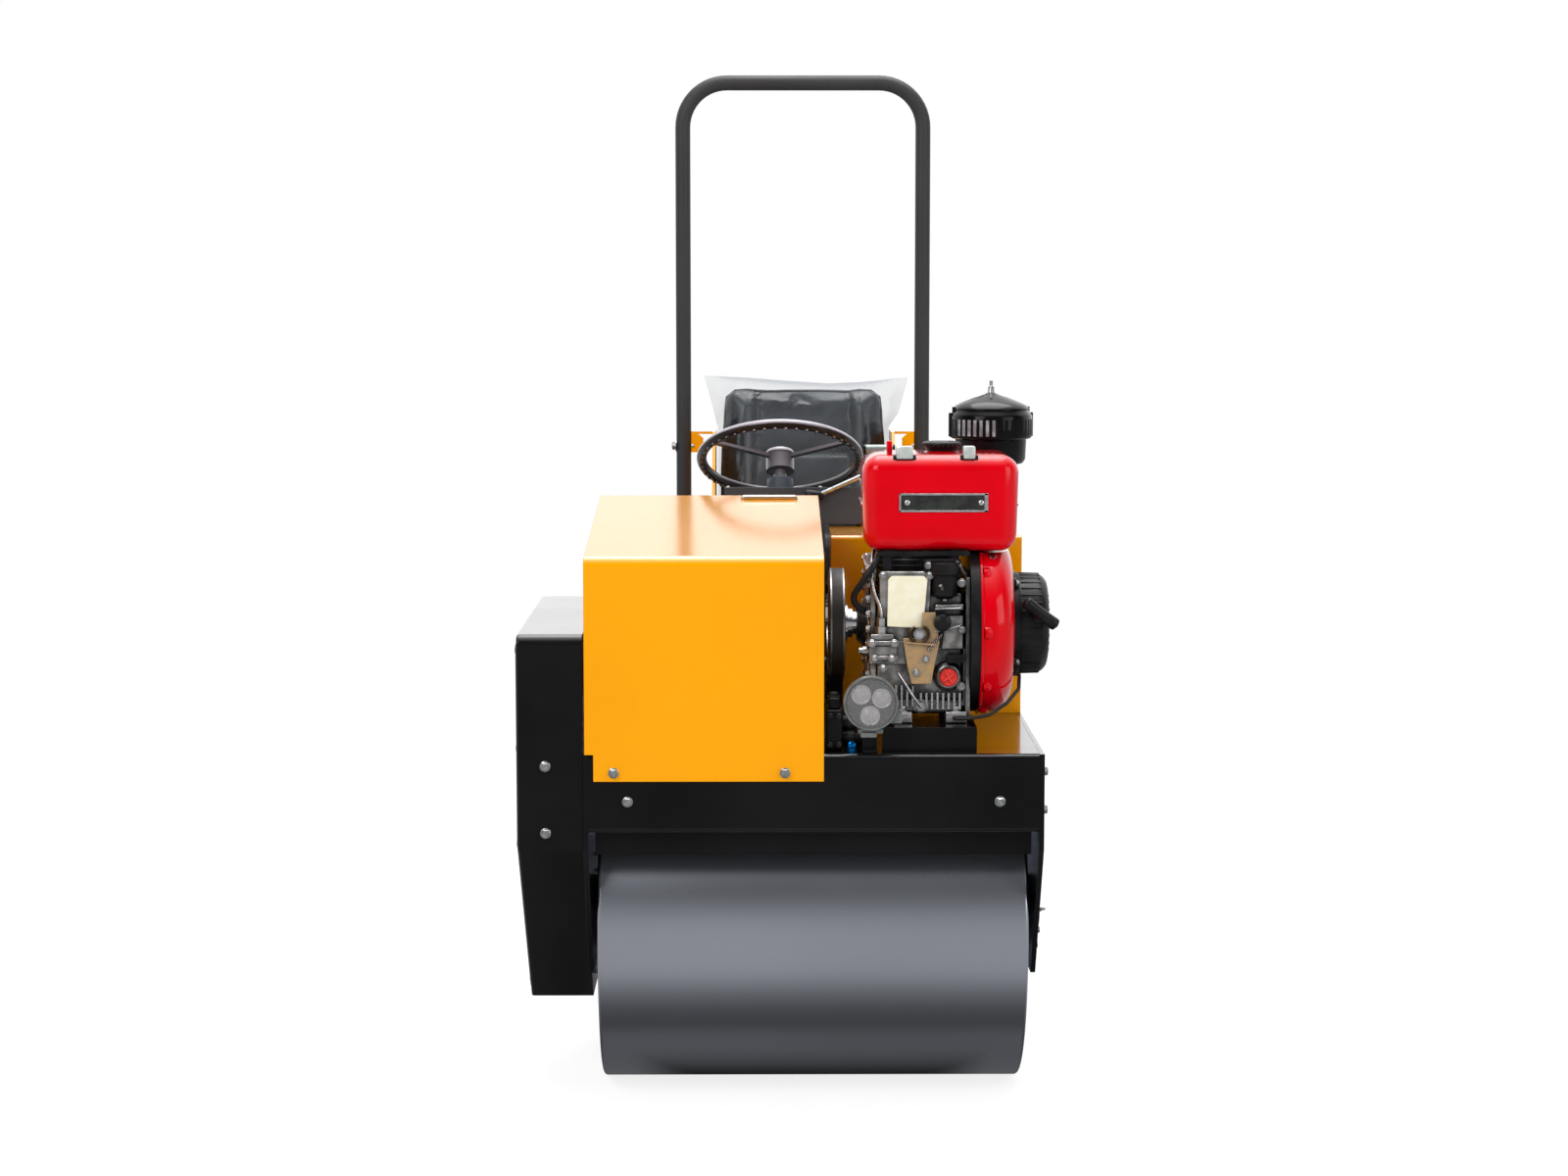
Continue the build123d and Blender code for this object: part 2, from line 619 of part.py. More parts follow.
# Hydraulic pump under the cover, its shaft out through the cover's side to the belt pulley
pump_x0, pump_x1, pump_r = -150, 0, 55
pulley_x0, pulley_x1 = cover_x1 + 11, cover_x1 + 38
with BuildPart() as pump:
    with BuildSketch(side(pump_x0)):
        with Locations((pump_y, pump_z)):
            Circle(pump_r)
        with Locations((pump_y, (pump_z + frame_top) / 2)):
            Rectangle(2 * pump_r, pump_z - frame_top)
    extrude(amount=pump_x1 - pump_x0)
    with BuildSketch(side(pump_x1)):
        with Locations((pump_y, pump_z)):
            Circle(pump_shaft_r)
    extrude(amount=pulley_x0 - pump_x1)
pump.part.label = "pump"
export_step(pump.part, "parts/pump.step")

# --- Engine ----------------------------------------------------------------------------------------------

# Engine bed: a folded channel on the deck. The engine's heights count from its top.
crank_y = frame_front + 195
bed_x0, bed_x1, bed_front, bed_back, bed_wall = 110, 262, crank_y - 160, crank_y + 70, 6
bed_top = frame_top + 38
with BuildPart() as engine_bed:
    with BuildSketch(facing(bed_back)):
        with Locations(((bed_x0 + bed_x1) / 2, (frame_top + bed_top) / 2)):
            Rectangle(bed_x1 - bed_x0, bed_top - frame_top)
        with Locations(((bed_x0 + bed_x1) / 2, (frame_top + bed_top - bed_wall) / 2)):
            Rectangle(bed_x1 - bed_x0 - 2 * bed_wall, bed_top - frame_top - bed_wall, mode=Mode.SUBTRACT)
    extrude(amount=bed_back - bed_front)
    with BuildSketch(facing(bed_front + bed_wall)):
        with Locations(((bed_x0 + bed_x1) / 2, (frame_top + bed_top) / 2)):
            Rectangle(bed_x1 - bed_x0, bed_top - frame_top)
    extrude(amount=bed_wall)
engine_bed.part.label = "engine_bed"
export_step(engine_bed.part, "parts/engine_bed.step")

crank_z = bed_top + 150
block_x0, block_x1, block_front, block_back, block_corner = 89, 254, crank_y - 108, crank_y + 90, 20
case_height, barrel_top, barrel_side, barrel_y = 210, bed_top + 265, 130, crank_y + 45
barrel_x = (block_x0 + block_x1) / 2 + 5
with BuildPart() as engine_block:
    with BuildSketch(side(block_x0)):
        with Locations(((block_front + block_back) / 2, bed_top + case_height / 2)):
            RectangleRounded(block_back - block_front, case_height, block_corner)
    extrude(amount=block_x1 - block_x0)
    with BuildSketch(level(crank_z)):
        with Locations((barrel_x, barrel_y)):
            RectangleRounded(barrel_side, barrel_side, block_corner)
    extrude(amount=barrel_top - crank_z)
engine_block.part.label = "engine_block"
export_step(engine_block.part, "parts/engine_block.step")

head_y, head_wide, head_deep, head_corner, head_top = crank_y + 145, 136, 110, 12, bed_top + 360
with BuildPart() as cylinder_head:
    with BuildSketch(level(barrel_top)):
        with Locations((barrel_x, head_y)):
            RectangleRounded(head_wide, head_deep, head_corner)
    extrude(amount=head_top - barrel_top)
cylinder_head.part.label = "cylinder_head"
export_step(cylinder_head.part, "parts/cylinder_head.step")

# Grooved pulleys of the engine and of the pump, and the belt in their grooves
pulley_r, pump_pulley_r, groove_depth, rim_thick, shaft_r = 91, 68, 8, 3, 19
belt_thick = 7


def grooved_pulley(y, z, radius):
    """A disc with a groove between two rims."""
    with BuildPart() as wheel:
        with BuildSketch(side(pulley_x0)):
            with Locations((y, z)):
                Circle(radius)
        extrude(amount=pulley_x1 - pulley_x0)
        with BuildSketch(side(pulley_x0 + rim_thick)):
            with Locations((y, z)):
                Circle(radius)
                Circle(radius - groove_depth, mode=Mode.SUBTRACT)
        extrude(amount=pulley_x1 - pulley_x0 - 2 * rim_thick, mode=Mode.SUBTRACT)
    return wheel


pump_pulley = grooved_pulley(pump_y, pump_z, pump_pulley_r)
pump_pulley.part.label = "pump_pulley"
export_step(pump_pulley.part, "parts/pump_pulley.step")

engine_pulley = grooved_pulley(crank_y, crank_z, pulley_r)
engine_pulley.part.label = "engine_pulley"
export_step(engine_pulley.part, "parts/engine_pulley.step")

with BuildPart() as engine_shaft:
    with BuildSketch(side(pulley_x1)):
        with Locations((crank_y, crank_z)):
            Circle(shaft_r)
    extrude(amount=block_x0 - pulley_x1)
engine_shaft.part.label = "engine_shaft"
export_step(engine_shaft.part, "parts/engine_shaft.step")

with BuildPart() as drive_belt:
    for swell, mode in ((seat_gap + belt_thick, Mode.ADD), (seat_gap, Mode.SUBTRACT)):
        with BuildSketch(side(pulley_x0 + rim_thick + 1)):
            with Locations((crank_y, crank_z)):
                Circle(pulley_r - groove_depth + swell)
            with Locations((pump_y, pump_z)):
                Circle(pump_pulley_r - groove_depth + swell)
            make_hull()
        extrude(amount=pulley_x1 - pulley_x0 - 2 * rim_thick - 2, mode=mode)
drive_belt.part.label = "drive_belt"
export_step(drive_belt.part, "parts/drive_belt.step")

# Fan housing: back plate and dished shroud, cut level under the fuel tank, with the duct up to the cylinder
backplate_x1, shroud_rim_x, shroud_x1 = 269, 300, 326
backplate_r, shroud_r, shroud_taper = 146, 150, 52
tank_low = bed_top + 274
duct_front, duct_back, duct_top = crank_y + 72, crank_y + 148, bed_top + 345
housing_top = tank_low - seat_gap


def cowl(x, radius, thick):
    """Round plate cut level under the fuel tank, with the air duct behind it."""
    with BuildPart() as housing:
        with BuildSketch(side(x)):
            with Locations((crank_y, crank_z)):
                Circle(radius)
            with Locations((crank_y, housing_top + radius / 2)):
                Rectangle(2 * radius, radius, mode=Mode.SUBTRACT)
            with Locations(((duct_front + duct_back) / 2, (crank_z + duct_top) / 2)):
                Rectangle(duct_back - duct_front, duct_top - crank_z)
        extrude(amount=thick)
    return housing


backplate = cowl(block_x1, backplate_r, backplate_x1 - block_x1)
backplate.part.label = "backplate"
export_step(backplate.part, "parts/backplate.step")

fan_rim = cowl(backplate_x1, shroud_r, shroud_rim_x - backplate_x1)
with BuildPart() as fan_shroud:
    add(fan_rim.part)
    with BuildSketch(side(shroud_rim_x)):
        with Locations((crank_y, crank_z)):
            Circle(shroud_r)
    extrude(amount=shroud_x1 - shroud_rim_x, taper=shroud_taper)
    with BuildSketch(side(shroud_rim_x)):
        with Locations((crank_y, housing_top + shroud_r / 2)):
            Rectangle(duct_front - crank_y + shroud_r, shroud_r, align=(Align.MAX, Align.CENTER))
            Rectangle(duct_front - crank_y, shroud_r, align=(Align.MIN, Align.CENTER))
    extrude(amount=shroud_x1 - shroud_rim_x, mode=Mode.SUBTRACT)
fan_shroud.part.label = "fan_shroud"
export_step(fan_shroud.part, "parts/fan_shroud.step")

# Recoil starter, with the boss that its rope comes out of, and the grip that hangs slanting before the boss
recoil_r, recoil_x1, recoil_edge, boss_r = 85, 386, 12, 12
grip_r, grip_length, grip_slope, boss_rise, rope_gap = 11, 65, 30, 15, 2
grip_x = grip_end - grip_length / 2 * cos(radians(grip_slope)) - grip_r * sin(radians(grip_slope))
rope_y, rope_z = -cos(radians(boss_rise)), sin(radians(boss_rise))
grip_reach = recoil_r + 6 + grip_r
with BuildPart() as recoil_starter:
    with BuildSketch(side(shroud_x1)):
        with Locations((crank_y, crank_z)):
            Circle(recoil_r)
    extrude(amount=recoil_x1 - shroud_x1)
    fillet(recoil_starter.faces().sort_by(Axis.X)[-1].edges(), recoil_edge)
    boss_root = (grip_x - middle_x, crank_y - middle_y, crank_z)
    with BuildSketch(Plane(origin=boss_root, x_dir=(1, 0, 0), z_dir=(0, rope_y, rope_z))):
        Circle(boss_r)
    extrude(amount=grip_reach - grip_r - rope_gap)
recoil_starter.part.label = "recoil_starter"
export_step(recoil_starter.part, "parts/recoil_starter.step")

grip_centre = (grip_x - middle_x, crank_y - middle_y + grip_reach * rope_y, crank_z + grip_reach * rope_z)
grip_axis = Plane(
    origin=grip_centre, x_dir=(0, 1, 0), z_dir=(cos(radians(grip_slope)), 0, -sin(radians(grip_slope))),
)
with BuildPart() as starter_grip:
    with BuildSketch(grip_axis.offset(-grip_length / 2)):
        Circle(grip_r)
    extrude(amount=grip_length)
starter_grip.part.label = "starter_grip"
export_step(starter_grip.part, "parts/starter_grip.step")

# Wire of the generator behind the fan: out of the shroud's face, round its lower edge and into the crankcase
wire_r = 3
wire_start, wire_end = (shroud_x1, crank_y - 56, crank_z - 78), (228, block_front, bed_top + 9)
wire_points = [
    wire_start, (shroud_x1 + 12, crank_y - 56, crank_z - 78), (shroud_x1 + 9, crank_y - 84, crank_z - 98),
    (shroud_x1 - 12, crank_y - 108, crank_z - 118), (shroud_x1 - 42, crank_y - 120, crank_z - 136),
    (shroud_x1 - 74, block_front - 16, bed_top + 9), (228, block_front - 16, bed_top + 9), wire_end,
]
wire_radii = (4, 16, 24, 30, 24, 6)
with BuildPart() as generator_wire:
    with BuildLine() as wire_path:
        FilletPolyline(*((x - middle_x, y - middle_y, z) for x, y, z in wire_points), radius=wire_radii)
    with BuildSketch(side(wire_start[0])):
        with Locations(wire_start[1:]):
            Circle(wire_r)
    sweep(path=wire_path.wires()[0])
generator_wire.part.label = "generator_wire"
export_step(generator_wire.part, "parts/generator_wire.step")

# Fuel tank over the crankcase, with its cap
tank_x0, tank_x1, tank_high = 79, 332, tank_low + 163
tank_front, tank_rear = crank_y - 110, crank_y + 65
tank_corner, tank_shoulder, tank_foot = 35, 28, 16
cap_x, cap_y, cap_r, cap_height = 211, crank_y - 25, 32, 12
with BuildPart() as fuel_tank:
    with BuildSketch(level(tank_low)):
        with Locations(((tank_x0 + tank_x1) / 2, (tank_front + tank_rear) / 2)):
            RectangleRounded(tank_x1 - tank_x0, tank_rear - tank_front, tank_corner)
    extrude(amount=tank_high - tank_low)
    fillet(fuel_tank.faces().sort_by(Axis.Z)[-1].edges(), tank_shoulder)
    fillet(fuel_tank.faces().sort_by(Axis.Z)[0].edges(), tank_foot)
fuel_tank.part.label = "fuel_tank"
export_step(fuel_tank.part, "parts/fuel_tank.step")

with BuildPart() as tank_cap:
    with BuildSketch(level(tank_high)):
        with Locations((cap_x, cap_y)):
            Circle(cap_r)
    extrude(amount=cap_height)
tank_cap.part.label = "tank_cap"
export_step(tank_cap.part, "parts/tank_cap.step")

# Air filter: bowl, wide lid band, cone and wing stud, on an elbow from the cylinder head
filter_x, filter_y, elbow_x0, elbow_side = 305, crank_y + 160, 190, 40
bowl_r, band_r, cone_r, stud_r = 55, 70, 68, 7
band_z, cone_z, cone_height, cone_taper, stud_top = head_top + 85, head_top + 133, 28, 50, head_top + 185
with BuildPart() as air_filter:
    for radius, low, high in ((bowl_r, head_top, band_z), (band_r, band_z, cone_z), (stud_r, cone_z, stud_top)):
        with BuildSketch(level(low)):
            with Locations((filter_x, filter_y)):
                Circle(radius)
        extrude(amount=high - low)
    with BuildSketch(level(cone_z)):
        with Locations((filter_x, filter_y)):
            Circle(cone_r)
    extrude(amount=cone_height, taper=cone_taper)
    with BuildSketch(side(elbow_x0)):
        with Locations((filter_y, head_top + elbow_side / 2)):
            Rectangle(elbow_side, elbow_side)
    extrude(amount=filter_x - elbow_x0)
air_filter.part.label = "air_filter"
export_step(air_filter.part, "parts/air_filter.step")

# Muffler behind the head, on the exhaust port
muffler_y, muffler_z, muffler_r, port_r = crank_y + 244, bed_top + 315, 38, 14
muffler_x0, muffler_x1 = 90, 240
head_back = head_y + head_deep / 2
with BuildPart() as muffler:
    with BuildSketch(side(muffler_x0)):
        with Locations((muffler_y, muffler_z)):
            Circle(muffler_r)
    extrude(amount=muffler_x1 - muffler_x0)
    with BuildSketch(facing(head_back)):
        with Locations((barrel_x, muffler_z)):
            Circle(port_r)
    extrude(amount=head_back - muffler_y)
muffler.part.label = "muffler"
export_step(muffler.part, "parts/muffler.step")

# Headlight on its bracket at the deck's front edge
lamp_x, lamp_z, lamp_r, lamp_depth = 90, frame_top + 84, 44, 52
bracket_wide, bracket_thick = 24, 6
lamp_back = lamp_front + lamp_depth
with BuildPart() as headlight:
    with BuildSketch(facing(lamp_back)):
        with Locations((lamp_x, lamp_z)):
            Circle(lamp_r)
    extrude(amount=lamp_depth)
    with BuildSketch(facing(lamp_back + bracket_thick)):
        with Locations((lamp_x, (frame_top + lamp_z) / 2)):
            Rectangle(bracket_wide, lamp_z - frame_top)
    extrude(amount=bracket_thick)
headlight.part.label = "headlight"
export_step(headlight.part, "parts/headlight.step")

# --- Hydraulic tank box and steering console -------------------------------------------------------------

oil_x0, oil_x1, oil_back, oil_edge = 37, front_out - 1, 380, 8
oil_front = pump_y + pump_pulley_r + 12
oil_top = frame_top + 310
with BuildPart() as oil_tank:
    with BuildSketch(level(frame_top)):
        with Locations(((oil_x0 + oil_x1) / 2, (oil_front + oil_back) / 2)):
            Rectangle(oil_x1 - oil_x0, oil_back - oil_front)
    extrude(amount=oil_top - frame_top)
    fillet(oil_tank.edges().filter_by(Axis.X).group_by(Axis.Z)[-1], oil_edge)
oil_tank.part.label = "oil_tank"
export_step(oil_tank.part, "parts/oil_tank.step")

# Console: a pedestal, and a panel head square to the steering column, with a wing over the tank box
console_x0, console_x1, console_front, console_back = -150, 30, 215, 330
head_x1, panel_front, panel_back, panel_low = 101, 300, 430, frame_top + 266
column_foot = 105
wing_low = oil_top + 4
panel_slope = tan(radians(wheel_tilt))
panel_z = wheel_z - column_foot / cos(radians(wheel_tilt))
panel_front_z = panel_z - (panel_front - wheel_y) * panel_slope
panel_back_z = panel_z - (panel_back - wheel_y) * panel_slope
with BuildPart() as console:
    with BuildSketch(side(console_x0)):
        with BuildLine():
            Polyline(
                (console_front, frame_top), (console_back, frame_top), (console_back, panel_low - 60),
                (panel_back, panel_low), (panel_back, panel_back_z), (panel_front, panel_front_z),
                (panel_front, panel_low), (console_front, panel_low), close=True,
            )
        make_face()
    extrude(amount=console_x1 - console_x0)
    with BuildSketch(side(console_x1)):
        with BuildLine():
            Polyline((panel_front, wing_low), (wheel_y - (wing_low - panel_z) / panel_slope, wing_low),
                     (panel_front, panel_front_z), close=True)
        make_face()
    extrude(amount=head_x1 - console_x1)
console.part.label = "console"
export_step(console.part, "parts/console.step")

# Steering wheel on its spindle, in the column that stands on the console
tilt_y, tilt_z = sin(radians(wheel_tilt)), cos(radians(wheel_tilt))
wheel_dia, rim_r, wheel_hub_r = 306, 9, 26
hub_below, hub_above, spoke_wide, spoke_thick = 26, 6, 10, 6
column_r, column_head, spindle_r, spindle_end = 24, 45, 12, 98
wheel_plane = Plane(
    origin=(wheel_x - middle_x, wheel_y - middle_y, wheel_z), x_dir=(1, 0, 0), z_dir=(0, tilt_y, tilt_z),
)
with BuildPart() as steering_column:
    with BuildSketch(wheel_plane.offset(-column_foot)):
        Circle(column_r)
        Circle(spindle_r + running, mode=Mode.SUBTRACT)
    extrude(amount=column_foot - column_head)
steering_column.part.label = "steering_column"
export_step(steering_column.part, "parts/steering_column.step")

with BuildPart() as steering_wheel:
    with BuildSketch(wheel_plane.offset(-hub_below)):
        Circle(wheel_hub_r)
    extrude(amount=hub_below + hub_above)
    with BuildSketch(wheel_plane.offset(-spindle_end)):
        Circle(spindle_r)
    extrude(amount=spindle_end)
    with BuildSketch(wheel_plane.offset(-spoke_thick / 2)):
        with PolarLocations(wheel_dia / 4, 3, start_angle=90):
            Rectangle(wheel_dia / 2 - rim_r, spoke_wide)
    extrude(amount=spoke_thick)
    with BuildSketch(Plane(wheel_plane.origin, x_dir=(1, 0, 0), z_dir=(0, -tilt_z, tilt_y))):
        with Locations((wheel_dia / 2 - rim_r, 0)):
            Circle(rim_r)
    revolve(axis=Axis(wheel_plane.origin, wheel_plane.z_dir))
steering_wheel.part.label = "steering_wheel"
export_step(steering_wheel.part, "parts/steering_wheel.step")

# Travel lever on the console's wing, with a cross grip
lever_x, lever_y, lever_r, lever_boss_r = head_x1 + 12, 345, 6, 10
lever_low, handle_z, handle_r, handle_length = oil_top + 16, oil_top + 136, 8, 52
with BuildPart() as drive_lever:
    with BuildSketch(level(lever_low)):
        with Locations((lever_x, lever_y)):
            Circle(lever_r)
    extrude(amount=handle_z - lever_low)
    with BuildSketch(side(head_x1)):
        with Locations((lever_y, lever_low + lever_boss_r)):
            Circle(lever_boss_r)
    extrude(amount=lever_x - head_x1)
    with BuildSketch(side(lever_x - handle_r)):
        with Locations((lever_y, handle_z)):
            Circle(handle_r)
    extrude(amount=handle_length)
drive_lever.part.label = "drive_lever"
export_step(drive_lever.part, "parts/drive_lever.step")
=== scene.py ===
import json
import math

import bmesh
import bpy
from mathutils import Matrix, Vector, noise
from mathutils.bvhtree import BVHTree


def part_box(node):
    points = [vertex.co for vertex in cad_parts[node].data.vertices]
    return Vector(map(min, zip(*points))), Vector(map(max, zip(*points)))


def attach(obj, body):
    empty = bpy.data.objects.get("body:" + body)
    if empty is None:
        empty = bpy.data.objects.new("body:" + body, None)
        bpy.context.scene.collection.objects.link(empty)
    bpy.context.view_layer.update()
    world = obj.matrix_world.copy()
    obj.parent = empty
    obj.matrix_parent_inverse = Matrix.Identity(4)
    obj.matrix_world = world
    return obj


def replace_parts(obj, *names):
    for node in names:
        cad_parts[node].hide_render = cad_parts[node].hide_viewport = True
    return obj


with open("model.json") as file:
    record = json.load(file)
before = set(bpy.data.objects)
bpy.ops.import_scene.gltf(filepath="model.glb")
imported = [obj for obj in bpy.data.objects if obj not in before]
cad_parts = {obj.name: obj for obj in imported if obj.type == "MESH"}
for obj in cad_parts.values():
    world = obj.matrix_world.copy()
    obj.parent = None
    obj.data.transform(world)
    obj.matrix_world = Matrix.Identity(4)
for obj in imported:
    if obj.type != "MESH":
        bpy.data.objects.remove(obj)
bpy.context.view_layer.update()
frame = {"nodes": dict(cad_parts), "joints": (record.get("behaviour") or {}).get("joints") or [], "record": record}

# --- Studio ----------------------------------------------------------------------------------------------
# The roller stands on a plain pale floor in an evenly lit white room. The camera looks at its front from
# about eye height. The middle plane and the front axle are the lines that everything is placed from.
scene = bpy.context.scene
scene.view_settings.view_transform = "Standard"
drum_low, drum_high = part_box("front_drum")
middle, axle_y = (drum_low.x + drum_high.x) / 2, (drum_low.y + drum_high.y) / 2
camera = bpy.data.objects.new("camera", bpy.data.cameras.new("camera"))
camera.data.lens, camera.data.sensor_width = 68.56, 36
camera.location = (middle - 0.082, axle_y - 5.031, 1.368)
camera.rotation_euler = (math.radians(83.93), 0, math.radians(-0.42))
scene.collection.objects.link(camera)
scene.camera = camera
for name, place, target, size, watts in (("key", (-2.6, -4.2, 3.6), (0, -0.3, 0.6), 2.2, 95),
                                         ("fill", (3.4, -3.4, 2.2), (0, -0.2, 0.6), 2.4, 45),
                                         ("top", (0.2, 0.6, 4.6), (0, 0, 0.6), 3.0, 115)):
    softbox = bpy.data.objects.new(name, bpy.data.lights.new(name, "AREA"))
    softbox.data.size, softbox.data.energy, softbox.location = size, watts, place
    softbox.rotation_euler = (Vector(target) - Vector(place)).to_track_quat("-Z", "Y").to_euler()
    scene.collection.objects.link(softbox)


def plug(tree, made, sockets):
    """Writes numbers and colours on a node's own inputs, and links sockets to them."""
    for name, value in sockets.items():
        if isinstance(value, bpy.types.NodeSocket):
            tree.links.new(value, made.inputs[name])
        else:
            made.inputs[name].default_value = value


def node(tree, kind, sockets=None, **traits):
    """A shader node of a kind, with its traits set and its inputs plugged."""
    made = tree.nodes.new("ShaderNode" + kind)
    for trait, value in traits.items():
        setattr(made, trait, value)
    plug(tree, made, sockets or {})
    return made


def math_node(tree, kind, *values):
    """The result of a Math node of a kind."""
    return node(tree, "Math", dict(enumerate(values)), operation=kind).outputs[0]


def scaled(tree, value, low, high, to_low, to_high):
    """A smooth Map Range from low..high to to_low..to_high."""
    ends = {"Value": value, "From Min": low, "From Max": high, "To Min": to_low, "To Max": to_high}
    return node(tree, "MapRange", ends, interpolation_type="SMOOTHSTEP").outputs[0]


# The room: white to the eye and behind the roller, evenly lit. In reflections it is dim in front and bright
# overhead, so that the folds, the rims and the castings catch a line of light.
room = bpy.data.worlds.new("room")
scene.world = room
room.use_nodes = True
tree, room_light = room.node_tree, 0.6
rays = node(tree, "LightPath").outputs
sky = node(tree, "SeparateXYZ", {0: node(tree, "TexCoord").outputs["Generated"]}).outputs
dusk = scaled(tree, sky["Z"], -0.02, 0.5, 0.42, 0.02)
behind = scaled(tree, sky["Y"], -0.1, 0.35, 0.0, 1.15)
zenith = math_node(tree, "POWER", math_node(tree, "MAXIMUM", sky["Z"], 0.0), 7.0)
glossy = math_node(tree, "ADD", math_node(tree, "MAXIMUM", dusk, behind), math_node(tree, "MULTIPLY", zenith, 4.0))
see_all = math_node(tree, "MAXIMUM", rays["Is Camera Ray"], rays["Is Transmission Ray"])
light = math_node(tree, "MULTIPLY_ADD", rays["Is Glossy Ray"], math_node(tree, "SUBTRACT", glossy, room_light),
                  room_light)
plug(tree, tree.nodes["Background"], {"Color": (1, 1, 1, 1), "Strength": math_node(tree, "MAXIMUM", light, see_all)})

# Floor: a wide matt sheet. To the eye it is lifted to the white of the room and keeps a faint shadow. In
# reflections it shows a painted glow instead of its own shading: white in front of the roller, with a painted
# shadow dark beside and under the drum, and painted bands just under it that shade the drum's lower part.
floor_half, floor_shade, floor_lift = 30.0, 0.3, 0.82
floor_mesh = bpy.data.meshes.new("floor")
floor_mesh.from_pydata([(x * floor_half, y * floor_half, 0) for x, y in ((-1, -1), (1, -1), (1, 1), (-1, 1))], [],
                       [(0, 1, 2, 3)])
floor = bpy.data.objects.new("floor", floor_mesh)
scene.collection.objects.link(floor)
paper = bpy.data.materials.new("floor_paper")
paper.use_nodes = True
tree = paper.node_tree
tree.nodes.clear()
place = node(tree, "SeparateXYZ", {0: node(tree, "NewGeometry").outputs["Position"]}).outputs
# Painted light and shadow for reflections: the glow grows with the distance ahead of the drum or out past its sides,
# and just under the drum it dips and rises in painted bands.
ahead = math_node(tree, "SUBTRACT", drum_low.y, place["Y"])
aside = math_node(tree, "ABSOLUTE", math_node(tree, "SUBTRACT", place["X"], middle))
reach = math_node(tree, "MAXIMUM", ahead, math_node(tree, "SUBTRACT", aside, 0.4))
under = math_node(tree, "MULTIPLY", scaled(tree, reach, -0.21, -0.08, -0.06, 0.055),
                  scaled(tree, reach, -0.045, 0.005, 1.0, 0.0))
painted_floor_glow = math_node(tree, "ADD", scaled(tree, reach, 0.0, 0.42, 0.08, 0.44), under)
painted_floor_reflection = node(tree, "Emission", {"Strength": painted_floor_glow}).outputs[0]
matt = node(tree, "BsdfDiffuse", {"Color": (floor_shade, floor_shade, floor_shade, 1)}).outputs[0]
lifted = node(tree, "AddShader", {0: matt, 1: node(tree, "Emission", {"Strength": floor_lift}).outputs[0]}).outputs[0]
plain = node(tree, "BsdfDiffuse", {"Color": (0.7, 0.7, 0.7, 1)}).outputs[0]
rays = node(tree, "LightPath").outputs
unseen = node(tree, "MixShader", {0: rays["Is Glossy Ray"], 1: plain, 2: painted_floor_reflection}).outputs[0]
seen = node(tree, "MixShader", {0: rays["Is Camera Ray"], 1: unseen, 2: lifted}).outputs[0]
node(tree, "OutputMaterial", {"Surface": seen})
floor_mesh.materials.append(paper)

# --- Drums -----------------------------------------------------------------------------------------------
# Two rolled and welded steel shells, sprayed dark metallic grey. Each turns on journals in its end webs,
# and the webs are bolted to the journals by a ring of hexagon screws.
LEFT, RIGHT = Vector((1, 0, 0)), Vector((-1, 0, 0))
BACK, FRONT = Vector((0, 1, 0)), Vector((0, -1, 0))
UP, DOWN = Vector((0, 0, 1)), Vector((0, 0, -1))
slots = {}  # the slot that each finish belongs to
bench = bmesh.new()  # every mesh is made here, and the next one starts when it has been taken off


def finish(name, slot, colour, second, rough, spread=0.06, metal=0.0, patch=0.12, grain=0.002, depth=0.0002,
           ior=1.45, coat=0.0, coat_rough=0.05, coat_ior=1.35, along=(1, 1, 1), bend=0.0, grime_and_shade=0.0, alpha=1.0):
    """A surface of a material slot whose colour and gloss drift in patches, over a fine grain. along stretches
    both, bend rounds the folds, and grime paints shade into the corners by ambient occlusion, for soiling and
    the shade that falls there. Paint (coat) shines more at a low angle."""
    made = bpy.data.materials.new(name)
    made.use_nodes = True
    slots[made.name] = slot
    tree = made.node_tree
    shader = tree.nodes["Principled BSDF"]
    place = node(tree, "Mapping", {"Vector": node(tree, "TexCoord").outputs["Object"], "Scale": along}).outputs[0]
    drift = node(tree, "TexNoise", {"Vector": place, "Scale": 1 / patch, "Detail": 4}).outputs["Fac"]
    shown = blend(tree, (*colour, 1), (*second, 1), scaled(tree, drift, 0.35, 0.65, 0.0, 1.0))
    # Painted shade: ambient occlusion darkens the colour in corners and recesses towards a dim copy of the second
    # colour, for soiling and for the shade that falls there.
    if grime_and_shade:
        corners = node(tree, "AmbientOcclusion", {"Distance": 0.03}, samples=6).outputs["AO"]
        dirt_and_shade = (*(c * (1 - grime_and_shade) for c in second), 1)
        shown = blend(tree, dirt_and_shade, shown, scaled(tree, corners, 0.35, 0.9, 0.0, 1.0))
    speckle = node(tree, "TexNoise", {"Vector": place, "Scale": 1 / grain, "Detail": 2}).outputs["Fac"]
    bump = node(tree, "Bump", {"Height": speckle, "Distance": depth, "Strength": 0.6})
    if bend:
        plug(tree, bump, {"Normal": node(tree, "Bevel", {"Radius": bend}).outputs["Normal"]})
    plug(tree, shader, {"Metallic": metal, "IOR": ior, "Alpha": alpha, "Base Color": shown,
                        "Normal": bump.outputs["Normal"],
                        "Roughness": scaled(tree, drift, 0.3, 0.7, rough - spread, rough + spread)})
    if coat:
        slant = node(tree, "LayerWeight").outputs["Facing"]
        plug(tree, shader, {"IOR": scaled(tree, slant, 0.15, 0.75, 1.08, ior), "Coat Roughness": coat_rough,
                            "Coat IOR": coat_ior, "Coat Normal": bump.outputs["Normal"],
                            "Coat Weight": scaled(tree, slant, 0.0, 0.12, 0.3 * coat, coat)})
    return made


